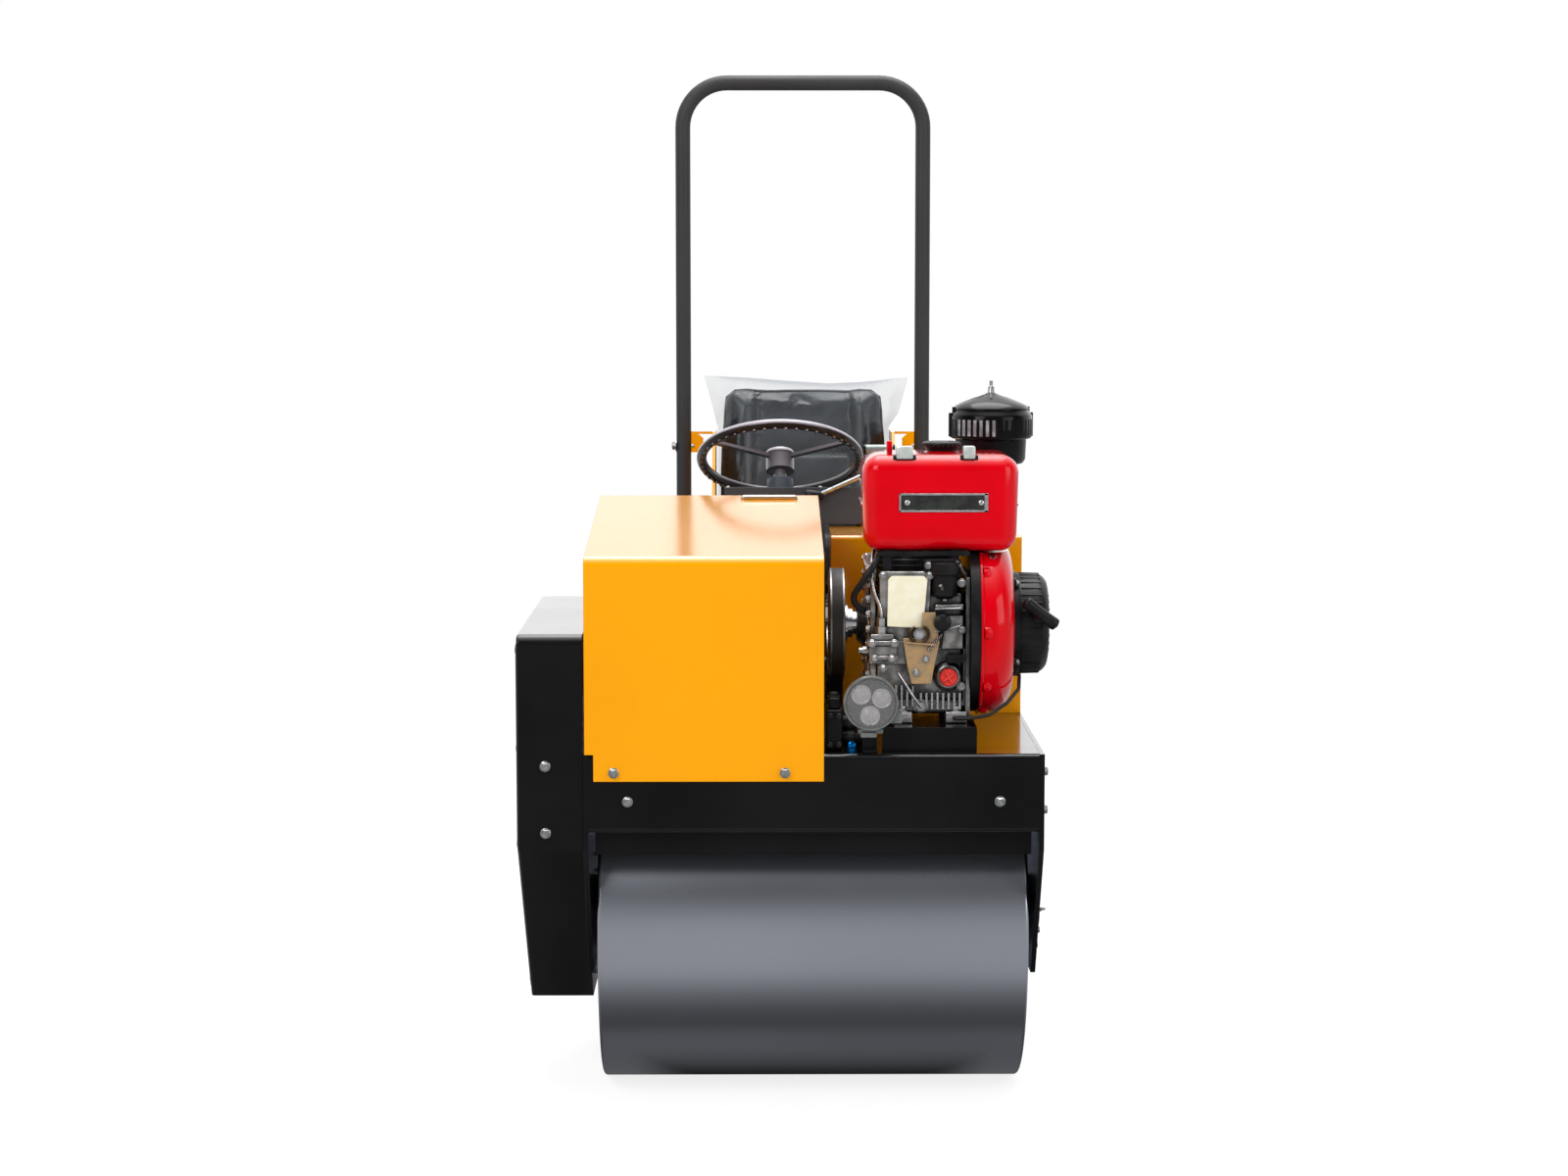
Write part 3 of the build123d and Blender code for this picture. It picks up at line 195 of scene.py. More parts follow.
def blend(tree, first, second, share):
    """A colour between first and second, by share."""
    return node(tree, "Mix", {"A": first, "B": second, "Factor": share}, data_type="RGBA").outputs["Result"]


def paint_nodes(material):
    """Gives every shown CAD node of the material's slot its finish."""
    for part in frame["record"]["subparts"]:
        if part["material_slot"] == slots[material.name]:
            mesh = frame["nodes"][part["node"]].data
            mesh.materials.clear()
            mesh.materials.append(material)


def place_on(made, material, body):
    """Puts an object in the scene in its material, riding on a body."""
    made.data.materials.append(material)
    scene.collection.objects.link(made)
    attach(made, body)
    return made


def piece(name, material, edge=0.0, rounds=2, crease=40, body="front_frame"):
    """Takes what lies on the bench as one finished piece. edge rounds its sharp edges."""
    mesh = bpy.data.meshes.new(name)
    bmesh.ops.recalc_face_normals(bench, faces=bench.faces)
    bench.to_mesh(mesh)
    bench.clear()
    mesh.shade_smooth()
    mesh.set_sharp_from_angle(angle=math.radians(crease))
    made = bpy.data.objects.new(name, mesh)
    if edge:
        rounding = made.modifiers.new("edges", "BEVEL")
        rounding.width, rounding.segments, rounding.limit_method = edge, rounds, "ANGLE"
        rounding.angle_limit = math.radians(crease)
        rounding.harden_normals = True
    return place_on(made, material, body)


def skin(above, below):
    """Closes the strip between two loops of points on the bench."""
    for k in range(len(above)):
        j = (k + 1) % len(above)
        bench.faces.new((above[k], above[j], below[j], below[k]))


def ring(count, plane, shift=0.0):
    """Unit vectors round a circle in a plane such as yz, the first one shift steps on from its first axis."""
    for k in range(count):
        angle, way = 2 * math.pi * (k + shift) / count, Vector()
        way["xyz".index(plane[0])], way["xyz".index(plane[1])] = math.cos(angle), math.sin(angle)
        yield way


def turned(start, direction, profile, sides=32):
    """Adds a lathe-turned solid: profile is (distance along direction from start, radius) pairs."""
    across = Vector(direction).to_track_quat("Z", "Y").to_matrix()
    rings = [[bench.verts.new(Vector(start) + across @ (way * radius + Vector((0, 0, reach))))
              for way in ring(sides, "xy")] for reach, radius in profile]
    for near, far in zip(rings, rings[1:]):
        skin(near, far)
    bench.faces.new(rings[0][::-1])
    bench.faces.new(rings[-1])


def rod(start, end, radius, sides=20):
    """Adds a plain round bar between two points."""
    run = Vector(end) - Vector(start)
    turned(start, run, ((0, radius), (run.length, radius)), sides)


def hex_bolt(place, direction, across=0.013, washer=0.0):
    """Adds a hexagon head with a chamfered top, on a washer unless that is 0."""
    way, foot = Vector(direction).normalized(), Vector(place)
    if washer:
        turned(foot, way, ((0, washer), (0.0012, washer), (0.0016, washer * 0.94)), 24)
        foot = foot + way * 0.0016
    half, tall = across / 2 / math.cos(math.pi / 6), across * 0.45
    turned(foot, way, ((0, half), (tall * 0.8, half), (tall, half * 0.84)), 6)
    turned(foot + way * tall, way, ((0, half * 0.62), (0.0004, half * 0.6)), 20)


def centre_of(node):
    """The middle of a CAD node's box."""
    low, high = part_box(node)
    return (low + high) / 2


paint_nodes(finish("drum_grey", "drum_steel", (0.555, 0.58, 0.66), (0.515, 0.54, 0.615), 0.26, 0.02, metal=1.0,
                   patch=0.5, grain=0.004, depth=0.00005))
zinc = finish("zinc_plate", "bright_steel", (0.56, 0.57, 0.56), (0.36, 0.38, 0.38), 0.3, 0.08, metal=1.0,
              patch=0.008, grain=0.001, depth=0.00008)
screw_ring, web_face = 0.048, 0.045
for drum, half_width in (("front_drum", 0.35), ("rear_drum", 0.25)):
    axle = centre_of(drum)
    for end in (-1, 1):
        for way in ring(6, "yz"):
            hex_bolt(Vector((middle + end * (half_width - web_face), *axle.yz)) + way * screw_ring, (end, 0, 0),
                     0.013, 0.009)
    piece(drum + "_screws", zinc, body=drum)

# --- Frames ----------------------------------------------------------------------------------------------
# Side plates, beam, deck, chain case and rear frame are cut and folded from sheet steel, welded, and
# sprayed gloss black. Zinc-plated hexagon screws with washers hold what can be taken off.
black_paint = finish("gloss_black", "frame_black", (0.005, 0.005, 0.0054), (0.0085, 0.0085, 0.0095), 0.2, 0.04,
                     ior=1.35, coat=1.0, coat_rough=0.06, patch=0.25, grain=0.0025, depth=0.0001, bend=0.0022)
paint_nodes(black_paint)
beam_low, beam_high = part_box("front_beam")
case_low, case_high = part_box("chain_case")
plate_low, plate_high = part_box("front_plate_left")
frame_bolt, beam_bolt_x, beam_bolt_drop, case_bolt_x = (0.013, 0.0085), 0.297, 0.076, 0.428
for hand in (-1, 1):
    hex_bolt((middle + hand * beam_bolt_x, beam_low.y, beam_high.z - beam_bolt_drop), FRONT, *frame_bolt)
for height in (0.583, 0.475):
    hex_bolt((middle - case_bolt_x, case_low.y, height), FRONT, *frame_bolt)
for reach, height in ((0.03, 0.57), (0.03, 0.508), (0.615, 0.57), (0.615, 0.45)):
    hex_bolt((plate_high.x, plate_low.y + reach, height), LEFT, *frame_bolt)
piece("front_frame_screws", zinc)


def sheet_plate(outline, place, thick):
    """Adds a flat plate: outline is 2-D points, and place(u, v, w) gives each its spot, w through the sheet."""
    near, far = ([bench.verts.new(place(u, v, w)) for u, v in outline] for w in (0, thick))
    bench.faces.new(near[::-1])
    bench.faces.new(far)
    skin(near, far)


# Lid of the chain case: a flat plate with turned-in corners, screwed on all round.
lid_inset, lid_thick, knee, foot_half = 0.016, 0.002, 0.453, 0.067
lid_outline = [(case_low.y + lid_inset, case_high.z - lid_inset), (case_high.y - lid_inset, case_high.z - lid_inset),
               (case_high.y - lid_inset, knee), (axle_y + foot_half, case_low.z + lid_inset),
               (axle_y - foot_half, case_low.z + lid_inset), (case_low.y + lid_inset, knee)]
sheet_plate(lid_outline, lambda u, v, w: Vector((case_low.x - w, u, v)), lid_thick)
piece("case_lid", black_paint, 0.0008)
corners = [Vector((case_low.x - lid_thick, u, v)) for u, v in lid_outline]
centre = sum(corners, Vector()) / len(corners)
for here, there in zip(corners, corners[1:] + corners[:1]):
    count = max(1, round((there - here).length / 0.16))
    for k in range(count):
        spot = here.lerp(there, k / count)
        turned(spot + (centre - spot).normalized() * 0.014, RIGHT, ((0, 0.0065), (0.0009, 0.0058), (0.0014, 0.003)), 20)
piece("case_lid_screws", black_paint)

# Bearing caps: pressed domes over the journals, each with a ring of flange screws and a grease nipple.
cap_radius, flange_screw_ring = 0.046, 0.062
for hub, hand, body in (("front_hub_left", 1, "front_frame"), ("rear_hub_left", 1, "rear_frame"),
                        ("rear_hub_right", -1, "rear_frame")):
    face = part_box(hub)[hand > 0].x
    hub_centre, out = Vector((face, *centre_of(hub).yz)), (hand, 0, 0)
    turned(hub_centre, out, ((0, cap_radius), (0.003, cap_radius), (0.006, cap_radius * 0.9),
                             (0.009, cap_radius * 0.6), (0.01, cap_radius * 0.3)), 40)
    piece(hub + "_cap", black_paint, body=body)
    for way in ring(8, "yz", 0.5):
        hex_bolt(hub_centre + way * flange_screw_ring, out, 0.01, 0.0075)
    turned(hub_centre + LEFT * hand * 0.01, out,
           ((0, 0.005), (0.004, 0.005), (0.005, 0.003), (0.009, 0.003), (0.011, 0.002)), 12)
    piece(hub + "_screws", zinc, body=body)
iron = finish("cast_iron", "machined_iron", (0.05, 0.05, 0.054), (0.03, 0.03, 0.033), 0.42, 0.08, metal=0.6,
              patch=0.03, grain=0.0016, depth=0.0003)
paint_nodes(iron)

# --- Belt cover ------------------------------------------------------------------------------------------
# A box of folded sheet steel over the pump and its drive, sprayed orange-yellow. Two screws hold its front
# apron to the beam, and a plated bar handle lifts it at the back.
yellow_paint = finish("machine_yellow", "machine_yellow", (1.0, 0.395, 0.0), (0.96, 0.375, 0.0), 0.24, 0.04, ior=2.2,
                      coat=1.0, coat_rough=0.08, coat_ior=1.6, patch=0.3, grain=0.0025, depth=0.00012, bend=0.003)
paint_nodes(yellow_paint)
cover_low, cover_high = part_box("belt_cover")
for x in (-0.319, -0.046):
    hex_bolt((middle + x, cover_low.y, 0.573), FRONT, *frame_bolt)
piece("cover_screws", zinc)


def bent_bar(name, points, radius, material, sides=4, smooth=True, body="front_frame"):
    """A round bar, pipe or wire along points, as a curve; a closed loop of straight runs if not smooth."""
    line = bpy.data.curves.new(name, "CURVE")
    line.dimensions, line.bevel_depth, line.bevel_resolution, line.use_fill_caps = "3D", radius, sides, smooth
    run = line.splines.new("NURBS" if smooth else "POLY")
    run.points.add(len(points) - 1)
    for point, place in zip(run.points, points):
        point.co = (*place, 1)
    if smooth:
        run.order_u, run.use_endpoint_u, run.resolution_u = 3, True, 8
    else:
        run.use_cyclic_u = True
    return place_on(bpy.data.objects.new(name, line), material, body)


chrome = finish("bright_plate", "bright_steel", (0.8, 0.8, 0.8), (0.7, 0.7, 0.72), 0.14, 0.04, metal=1.0, patch=0.05,
                depth=0.00003)
paint_nodes(chrome)
warm_plate = finish("warm_plate", "bright_steel", (0.6, 0.52, 0.45), (0.5, 0.44, 0.38), 0.3, metal=1.0, patch=0.03)
handle_foot, handle_long = Vector((middle - 0.116, cover_high.y - 0.034, cover_high.z - 0.009)), 0.092
handle_line = [handle_foot + Vector((x, -0.002, 0.008))
               for x in (0, 0.006, handle_long / 2, handle_long - 0.006, handle_long)]
bent_bar("cover_handle", [handle_foot, *handle_line, handle_foot + LEFT * handle_long], 0.0045, warm_plate)

# Louvres pressed into the cover's back let the drive's heat out.
louvre_pitch, louvre_half = 0.028, 0.075
for side in (-1, 1):
    x = (cover_low.x + cover_high.x) / 2 + side * 0.09 - louvre_half
    for k in range(7):
        z = beam_high.z + 0.07 + k * louvre_pitch
        sheet_plate(((0, 0), (0.009, 0.002), (0.009, 0.004), (0.004, 0.012), (0, 0.016)),
                    lambda u, v, w: Vector((x + w, cover_high.y + u, z + v)), louvre_half * 2)
piece("cover_louvres", yellow_paint, 0.0012)

# --- Articulation ----------------------------------------------------------------------------------------
# The frames are hinged on a steel pin between two lugs, and a short hydraulic ram above it steers. The ram
# has a threaded gland, two hose unions, and grease nipples on its eyes and on the pin.
joints = {joint["name"]: joint for joint in frame["joints"]}
pin = Vector((*joints["articulation"]["pos_m"][:2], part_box("pivot_clevis")[1].z))
ram_eye, ram_way = Vector(joints["ram_swing"]["pos_m"]), Vector(joints["ram_stroke"]["axis"])
turned(pin, UP, ((0, 0.028), (0.004, 0.028), (0.006, 0.026)))
hex_bolt(pin + UP * 0.006, UP, 0.017, 0.013)
piece("pivot_pin_cap", zinc)
turned(ram_eye + ram_way * 0.122, ram_way, ((0, 0.0205), (0.002, 0.0225), (0.014, 0.0225), (0.016, 0.0205)))
for reach in (0.036, 0.108):
    eye_top = ram_eye + ram_way * reach
    turned(eye_top, UP, ((0, 0.009), (0.026, 0.009), (0.027, 0.007)), 16)
    hex_bolt(eye_top + UP * 0.027, UP, 0.014)
piece("ram_unions", zinc, body="ram_barrel")

# --- Engine bed and crankcase ----------------------------------------------------------------------------
# A single-cylinder diesel stands on a folded steel bed. Its crankcase is die-cast aluminium, left bare, with
# machined faces, cooling ribs round the sump and four bolted feet.
block_low, bed_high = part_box("engine_block")[0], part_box("engine_bed")[1]
pulley_low, pulley_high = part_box("engine_pulley")
crank = Vector((middle, *centre_of("engine_pulley").yz))


def on_engine(x, y, z):
    """A place in millimetres: left of the centre plane, behind the crankcase's front, above the bed."""
    return Vector((middle + x / 1000, block_low.y + y / 1000, bed_high.z + z / 1000))


def cast_box(low, high):
    """Adds a plain box between two corners."""
    spots = [bench.verts.new((x, y, z)) for x in (low[0], high[0]) for y in (low[1], high[1])
             for z in (low[2], high[2])]
    for face in ((0, 1, 3, 2), (4, 6, 7, 5), (0, 4, 5, 1), (2, 3, 7, 6), (0, 2, 6, 4), (1, 5, 7, 3)):
        bench.faces.new([spots[k] for k in face])


def castings(*boxes):
    """Adds plain boxes, each two corners in the engine's millimetres: (x, y, z, x, y, z)."""
    for x0, y0, z0, x1, y1, z1 in boxes:
        cast_box(on_engine(x0, y0, z0), on_engine(x1, y1, z1))


def screws(direction, across, washer, *places):
    """Adds like hexagon screws, at places in the engine's millimetres."""
    for place in places:
        hex_bolt(on_engine(*place), direction, across, washer)


aluminium = finish("cast_aluminium", "engine_cast", (0.58, 0.57, 0.56), (0.26, 0.255, 0.25), 0.34, 0.12, metal=1.0,
                   patch=0.02, grain=0.0018, depth=0.00045, grime_and_shade=0.75)
machined = finish("machined_face", "bright_steel", (0.82, 0.81, 0.83), (0.52, 0.52, 0.54), 0.26, 0.08, metal=1.0,
                  patch=0.02, grain=0.001, depth=0.00008, along=(1, 1, 8), grime_and_shade=0.7)
engine_black = finish("engine_black", "engine_black", (0.006, 0.006, 0.0068), (0.014, 0.014, 0.016), 0.34, 0.08,
                      ior=1.3, patch=0.04, grain=0.0012, depth=0.00015, grime_and_shade=0.5)
paint_nodes(engine_black)
castings((100, 4, 30, 244, 194, 212), (112, -2, 14, 240, 196, 40), (118, 16, 200, 238, 190, 240))
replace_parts(piece("crankcase", aluminium, 0.008, 4), "engine_block")
castings(*((x, -6, 22, x + 4, 4, 50) for x in range(172, 244, 9)),
         *((x, -5, 26, x + 4, 4, 62) for x in range(114, 168, 9)),
         *((240, y, 26, 250, y + 4, 120) for y in range(10, 190, 12)),
         *((94, y, 26, 104, y + 4, 48) for y in range(12, 190, 12)))
piece("sump_ribs", machined, 0.001)

# Four feet with machined tops, each held by a screw, and the drain screw between the front two.
castings(*((x0, y0, 0.3, x1, y1, 19) for x0, x1 in ((130, 160), (214, 248)) for y0, y1 in ((-10, 26), (168, 200))))
piece("crankcase_feet", machined, 0.002)
screws(UP, 0.013, 0.0095, *((x, y, 19) for x in (145, 231) for y in (2, 184)))
screws(FRONT, 0.017, 0.012, (174, -2, 27))
screws(FRONT, 0.012, 0.009, (122, -2, 24))
piece("feet_screws", zinc)

# Flange to the fan housing: a machined rim that shows as a bright upright line.
castings((246, -2, 6, 253.7, 202, 236))
piece("fan_flange", aluminium, 0.0015)

# Cover on the output side, with its screws all round, and the stepped output shaft.
castings((92, 2, 46, 102, 196, 258), (88, 14, 60, 93, 186, 246))
turned((on_engine(89, 0, 0).x, *crank.yz), RIGHT, ((-0.004, 0.05), (0.002, 0.046), (0.008, 0.034), (0.016, 0.029)), 40)
piece("output_cover", aluminium, 0.003, 3)
screws(RIGHT, 0.011, 0.008, *((92, y, 54 + k * 24.5) for k in range(9) for y in (8, 190)),
       *((92, 8 + k * 30, height) for k in range(1, 6) for height in (52, 252)))
piece("output_cover_screws", machined)
turned((pulley_high.x - 0.004, *crank.yz), LEFT,
       ((0, 0.03), (0.008, 0.03), (0.0085, 0.024), (0.016, 0.024), (0.0165, 0.019), (0.034, 0.019)), 40)
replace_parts(piece("output_shaft", chrome, crease=30), "engine_shaft")

# --- Front of the crankcase ------------------------------------------------------------------------------
# The governor cover with its cream plastic shield, the speed plate of yellow-passivated steel with stop lever,
# spring and knob, the red oil filler, the fuel filter, and the injection pump with its union and steel pipe.
cream = finish("cream_plastic", "engine_cast", (0.95, 0.92, 0.74), (0.9, 0.85, 0.62), 0.35, patch=0.02,
               grain=0.0015, depth=0.00006)
passivated = finish("yellow_passivate", "engine_cast", (0.66, 0.42, 0.2), (0.5, 0.35, 0.21), 0.4, 0.1, metal=0.6,
                    patch=0.012, grain=0.0012, depth=0.0001, grime_and_shade=0.4)
red_plastic = finish("red_plastic", "engine_red", (0.72, 0.03, 0.02), (0.6, 0.02, 0.015), 0.35, 0.05, patch=0.02,
                     grain=0.001, depth=0.00005)
dark_bronze = finish("dark_bronze", "engine_black", (0.1, 0.055, 0.03), (0.06, 0.035, 0.02), 0.35, 0.08, metal=0.7,
                     patch=0.01)


def front_plate(outline, y, thick):
    """Adds a plate that faces forward: outline is (x, z) in engine millimetres."""
    sheet_plate(outline, lambda u, v, w: on_engine(u, y - w, v), thick)


front_plate(((108, 132), (186, 130), (190, 236), (180, 247), (114, 247), (106, 238)), 4, 12)
castings((108, -10, 96, 172, 6, 134), (196, -8, 120, 243, 6, 176), (196, -12, 184, 243, 6, 194))
turned(on_engine(218, 4, 76), FRONT, ((0, 0.024), (0.008, 0.024), (0.01, 0.021), (0.013, 0.019)))
piece("governor_housing", aluminium, 0.003, 3)
front_plate(((119, 158), (177, 155), (184, 234), (178, 240), (126, 240), (120, 234)), -9, 4)
piece("cream_shield", cream, 0.0025, 3)
screws(FRONT, 0.009, 0.0065, (112, -8, 240), (187, -8, 240), (111, -8, 138), (183, -8, 136))
screws(FRONT, 0.01, 0.007, (239, -6, 228), (239, -6, 152), (239, -6, 60), (112, -6, 112), (168, -6, 112))
piece("crankcase_screws", zinc)

# Speed plate: a pressed bracket standing off the casting, slotted for the stop lever.
front_plate(((144, 140), (172, 141), (175, 182), (196, 182), (203, 133), (195, 96), (190, 66), (158, 66), (151, 96)),
            -18, 2.5)
front_plate(((158, 66), (190, 66), (190, 70), (158, 70)), -4, 14)
front_plate(((150, 132), (198, 128), (198, 131), (150, 135)), -20.5, 6)
piece("speed_plate", passivated, 0.001)
turned(on_engine(170, -20, 147), FRONT, ((0, 0.009), (0.003, 0.009), (0.0035, 0.006), (0.009, 0.006)), 24)
screws(FRONT, 0.008, 0.006, (181, -20.5, 106), (166, -20.5, 84))
rod(on_engine(196, -20, 150), on_engine(236, -20, 160), 0.0016, 10)
rod(on_engine(196, -14, 186), on_engine(238, -14, 188), 0.002, 10)
piece("speed_plate_fittings", machined)
for side in (-1, 1):
    arc = [on_engine(170 + side * 15 * math.sin(a), -24, 147 + 13 * math.cos(a))
           for a in (math.radians(25 + 130 * k / 14) for k in range(15))]
    for near, far in zip(arc, arc[1:]):
        rod(near, far, 0.0026, 10)
piece("stop_lever", dark_bronze)
coil_turns, coil_steps, coil = 9, 10, []
for k in range(coil_turns * coil_steps + 1):
    angle, along = 2 * math.pi * k / coil_steps, k / (coil_turns * coil_steps)
    coil.append(on_engine(184 + 22 * along, -24 + 3.2 * math.cos(angle), 120 + 26 * along + 3.2 * math.sin(angle)))
bent_bar("governor_spring", coil, 0.0007, machined, 2)
turned(on_engine(207, -16, 166), FRONT, ((0, 0.006), (0.006, 0.006), (0.007, 0.012), (0.012, 0.0145), (0.02, 0.0135),
                                         (0.023, 0.008)), 28)
front_plate(((202, 162), (212, 162), (207, 122), (202, 124)), -12, 4)
castings((216, -16, 99, 243, 2, 112))
piece("throttle_knob", engine_black, 0.0008)
turned(on_engine(218, -9, 76), FRONT, ((0, 0.0115), (0.004, 0.0115), (0.005, 0.0145), (0.012, 0.0145),
                                       (0.0145, 0.0125)), 36)
for angle in (0.6, 0.6 + math.pi / 2):
    way = Vector((math.cos(angle), 0, math.sin(angle))) * 0.011
    rod(on_engine(218, -24, 76) - way, on_engine(218, -24, 76) + way, 0.0026, 10)
piece("oil_filler_cap", red_plastic, 0.0006)
turned(on_engine(212, 2, 262), DOWN, ((0, 0.026), (0.02, 0.026), (0.022, 0.022), (0.054, 0.021), (0.06, 0.012)))
castings((178, -4, 236, 238, 30, 266))
piece("fuel_filter", engine_black, 0.002)
screws(DOWN, 0.01, 0.0, (212, 2, 202))
screws(FRONT, 0.009, 0.0065, (186, -4, 256), (232, -4, 256))
rod(on_engine(204, -22, 226), on_engine(208, -16, 218), 0.003, 10)
piece("fuel_filter_screws", zinc)

# Injection pump: a flanged body on the output side with a delivery union on top.
castings((90, -22, 98, 134, 8, 128), (86, -24, 128, 138, 8, 136), (92, -18, 136, 130, 8, 146),
         (92, -26, 104, 136, -20, 112))
piece("injection_pump", aluminium, 0.002, 3)
turned(on_engine(110, -8, 146), UP, ((0, 0.011), (0.012, 0.011), (0.013, 0.008), (0.026, 0.008)), 6)
turned(on_engine(90, -8, 118), RIGHT, ((0, 0.008), (0.01, 0.008), (0.0105, 0.0055), (0.016, 0.0055)), 20)
screws(FRONT, 0.01, 0.007, (94, -24, 132), (130, -24, 132))
screws(FRONT, 0.009, 0.0065, (98, -26, 108), (126, -26, 108), (112, -26, 92))
piece("pump_unions", machined)
for name, radius, material, route in (
        ("injector_pipe", 0.003, machined, ((110, -8, 168), (110, -8, 188), (96, -4, 214), (94, 10, 262),
                                            (104, 70, 290), (126, 110, 330), (132, 124, 352))),
        ("drain_pipe", 0.0026, machined, ((136, -22, 84), (144, -22, 72), (166, -18, 38), (174, -12, 27))),
        ("fuel_pipe", 0.0055, engine_black, ((92, 20, 176), (74, 6, 184), (62, -2, 204), (78, -4, 228),
                                             (95, -4, 252), (106, 12, 270), (116, 30, 276)))):
    bent_bar(name, [on_engine(*place) for place in route], radius, material)

# --- Cylinder, head and muffler --------------------------------------------------------------------------
# The barrel and head are finned castings behind the tank. A domed steel muffler hangs on the exhaust port,
# under a slotted shield, and blows out to the side.
head_low, head_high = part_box("cylinder_head")
barrel_low, barrel_high, inset = on_engine(106, 88, 206), on_engine(237, 218, 265), Vector((0.012, 0.012, 0))


def fins(low, high, first, pitch, count, thick):
    """Adds flat fins right across a casting, the first one at a height above its foot."""
    for k in range(count):
        foot = low.z + first + k * pitch
        cast_box((*low.xy, foot), (*high.xy, foot + thick))


cast_box(barrel_low + inset, barrel_high - inset)
fins(barrel_low, barrel_high, 0.002, 0.0095, 7, 0.003)
piece("cylinder_fins", aluminium, 0.0008)
cast_box(head_low + inset, head_high - inset - UP * 0.03)
fins(head_low, head_high, 0.004, 0.0105, 6, 0.0035)
cast_box((head_low.x + 0.008, head_low.y + 0.008, head_high.z - 0.032),
         (head_high.x - 0.008, head_high.y - 0.008, head_high.z))
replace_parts(piece("finned_head", aluminium, 0.0012), "cylinder_head")
head_size = head_high - head_low
for x in (0.3, 0.7):
    for y in (0.2, 0.8):
        hex_bolt((head_low.x + head_size.x * x, head_low.y + head_size.y * y, head_high.z), UP, 0.012, 0.009)
piece("rocker_cover_screws", zinc)

hot_steel = finish("hot_steel", "engine_black", (0.09, 0.08, 0.075), (0.045, 0.04, 0.038), 0.5, 0.12, metal=0.8,
                   patch=0.03, grain=0.0015, depth=0.0003)
muffler_low, muffler_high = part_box("muffler")
can_r, long = (muffler_high.z - muffler_low.z) / 2, muffler_high.x - muffler_low.x
can_y, can_z, port_x = muffler_high.y - can_r, (muffler_high.z + muffler_low.z) / 2, (head_low.x + head_high.x) / 2
dome = ((0, 0.55), (0.006, 0.85), (0.012, 0.97), (0.014, 1), (0.018, 1), (0.02, 0.97))
turned((muffler_low.x, can_y, can_z), LEFT, [(reach, can_r * share) for reach, share in dome]
       + [(long - reach, can_r * share) for reach, share in dome[::-1]], 48)
rod((port_x, head_high.y, can_z), (port_x, can_y, can_z), 0.014, 24)
cast_box((port_x - 0.03, head_high.y, can_z - 0.022), (port_x + 0.03, head_high.y + 0.006, can_z + 0.022))
turned((muffler_low.x + 0.04, can_y + can_r - 0.006, can_z), (-0.35, 1, 0.1),
       ((0, 0.012), (0.03, 0.012), (0.03, 0.0105), (0.004, 0.0105)), 24)
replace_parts(piece("muffler_can", hot_steel), "muffler")


def on_can(reach, degrees, off):
    """A place on the muffler: how far from its right end, how high up from its back, how far off its skin."""
    angle, radius = math.radians(degrees), can_r + off
    return Vector((muffler_low.x + reach, can_y + radius * math.cos(angle), can_z + radius * math.sin(angle)))


slats, slat_start, slat_pitch, slat_wide = 9, 0.028, 0.0118, 0.0085
for k in range(slats):
    for i in range(10):
        spots = [bench.verts.new(on_can(slat_start + k * slat_pitch + wide, -35 + 13 * (i + j), off))
                 for wide in (0, slat_wide) for off in (0.003, 0.0045) for j in (0, 1)]
        for face in ((0, 1, 3, 2), (4, 6, 7, 5), (0, 4, 5, 1), (2, 3, 7, 6)):
            bench.faces.new([spots[n] for n in face])
for degrees in (-35, 30, 95):
    rod(on_can(0.022, degrees, 0.0037), on_can(0.138, degrees, 0.0037), 0.0018, 8)
piece("muffler_shield", machined)

# --- Fan housing and recoil starter ----------------------------------------------------------------------
# The fan blows through a pressed steel housing, sprayed red, that is rounded to a dished face and ducted up to
# the cylinder. The recoil starter is moulded black plastic with louvres, and its rope ends in a bar grip.
red_paint = finish("engine_red", "engine_red", (0.74, 0.0, 0.008), (0.66, 0.0, 0.005), 0.2, 0.04, ior=1.35, coat=1.0,
                   coat_rough=0.06, depth=0.0001, grime_and_shade=0.5)
shroud_low, shroud_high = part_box("fan_shroud")
tank_low, tank_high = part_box("fuel_tank")
back_plate = Vector((shroud_low.x, *crank.yz))
rim, wide, under_tank = crank.y - shroud_low.y, shroud_high.x - shroud_low.x, tank_low.z - 0.0005


def quarter_round(steps):
    """A quarter circle in even steps: how far along it is and how far it has dropped, from 0 to 1."""
    return [(math.sin(math.pi / 2 * k / steps), 1 - math.cos(math.pi / 2 * k / steps)) for k in range(steps + 1)]


turned(back_plate, LEFT, [(0.0, rim - 0.004), (0.001, rim), (0.004, rim), (0.006, rim - 0.003),
                          *((wide * (0.28 + 0.72 * on), rim - 0.003 - 0.04 * drop) for on, drop in quarter_round(12)),
                          (wide, rim - 0.052), (wide - 0.004, rim - 0.062), (wide - 0.006, 0.06)], 96)
bmesh.ops.bisect_plane(bench, geom=bench.verts[:] + bench.edges[:] + bench.faces[:], plane_co=(0, 0, under_tank),
                       plane_no=UP, clear_outer=True)
bmesh.ops.holes_fill(bench, edges=[edge for edge in bench.edges if edge.is_boundary])
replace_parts(piece("fan_housing", red_paint, crease=30), "fan_shroud")
cast_box((shroud_low.x - 0.012, crank.y + 0.072, crank.z + 0.06),
         (shroud_low.x + 0.031, crank.y + 0.148, shroud_high.z))
piece("fan_duct", red_paint, 0.012, 4)
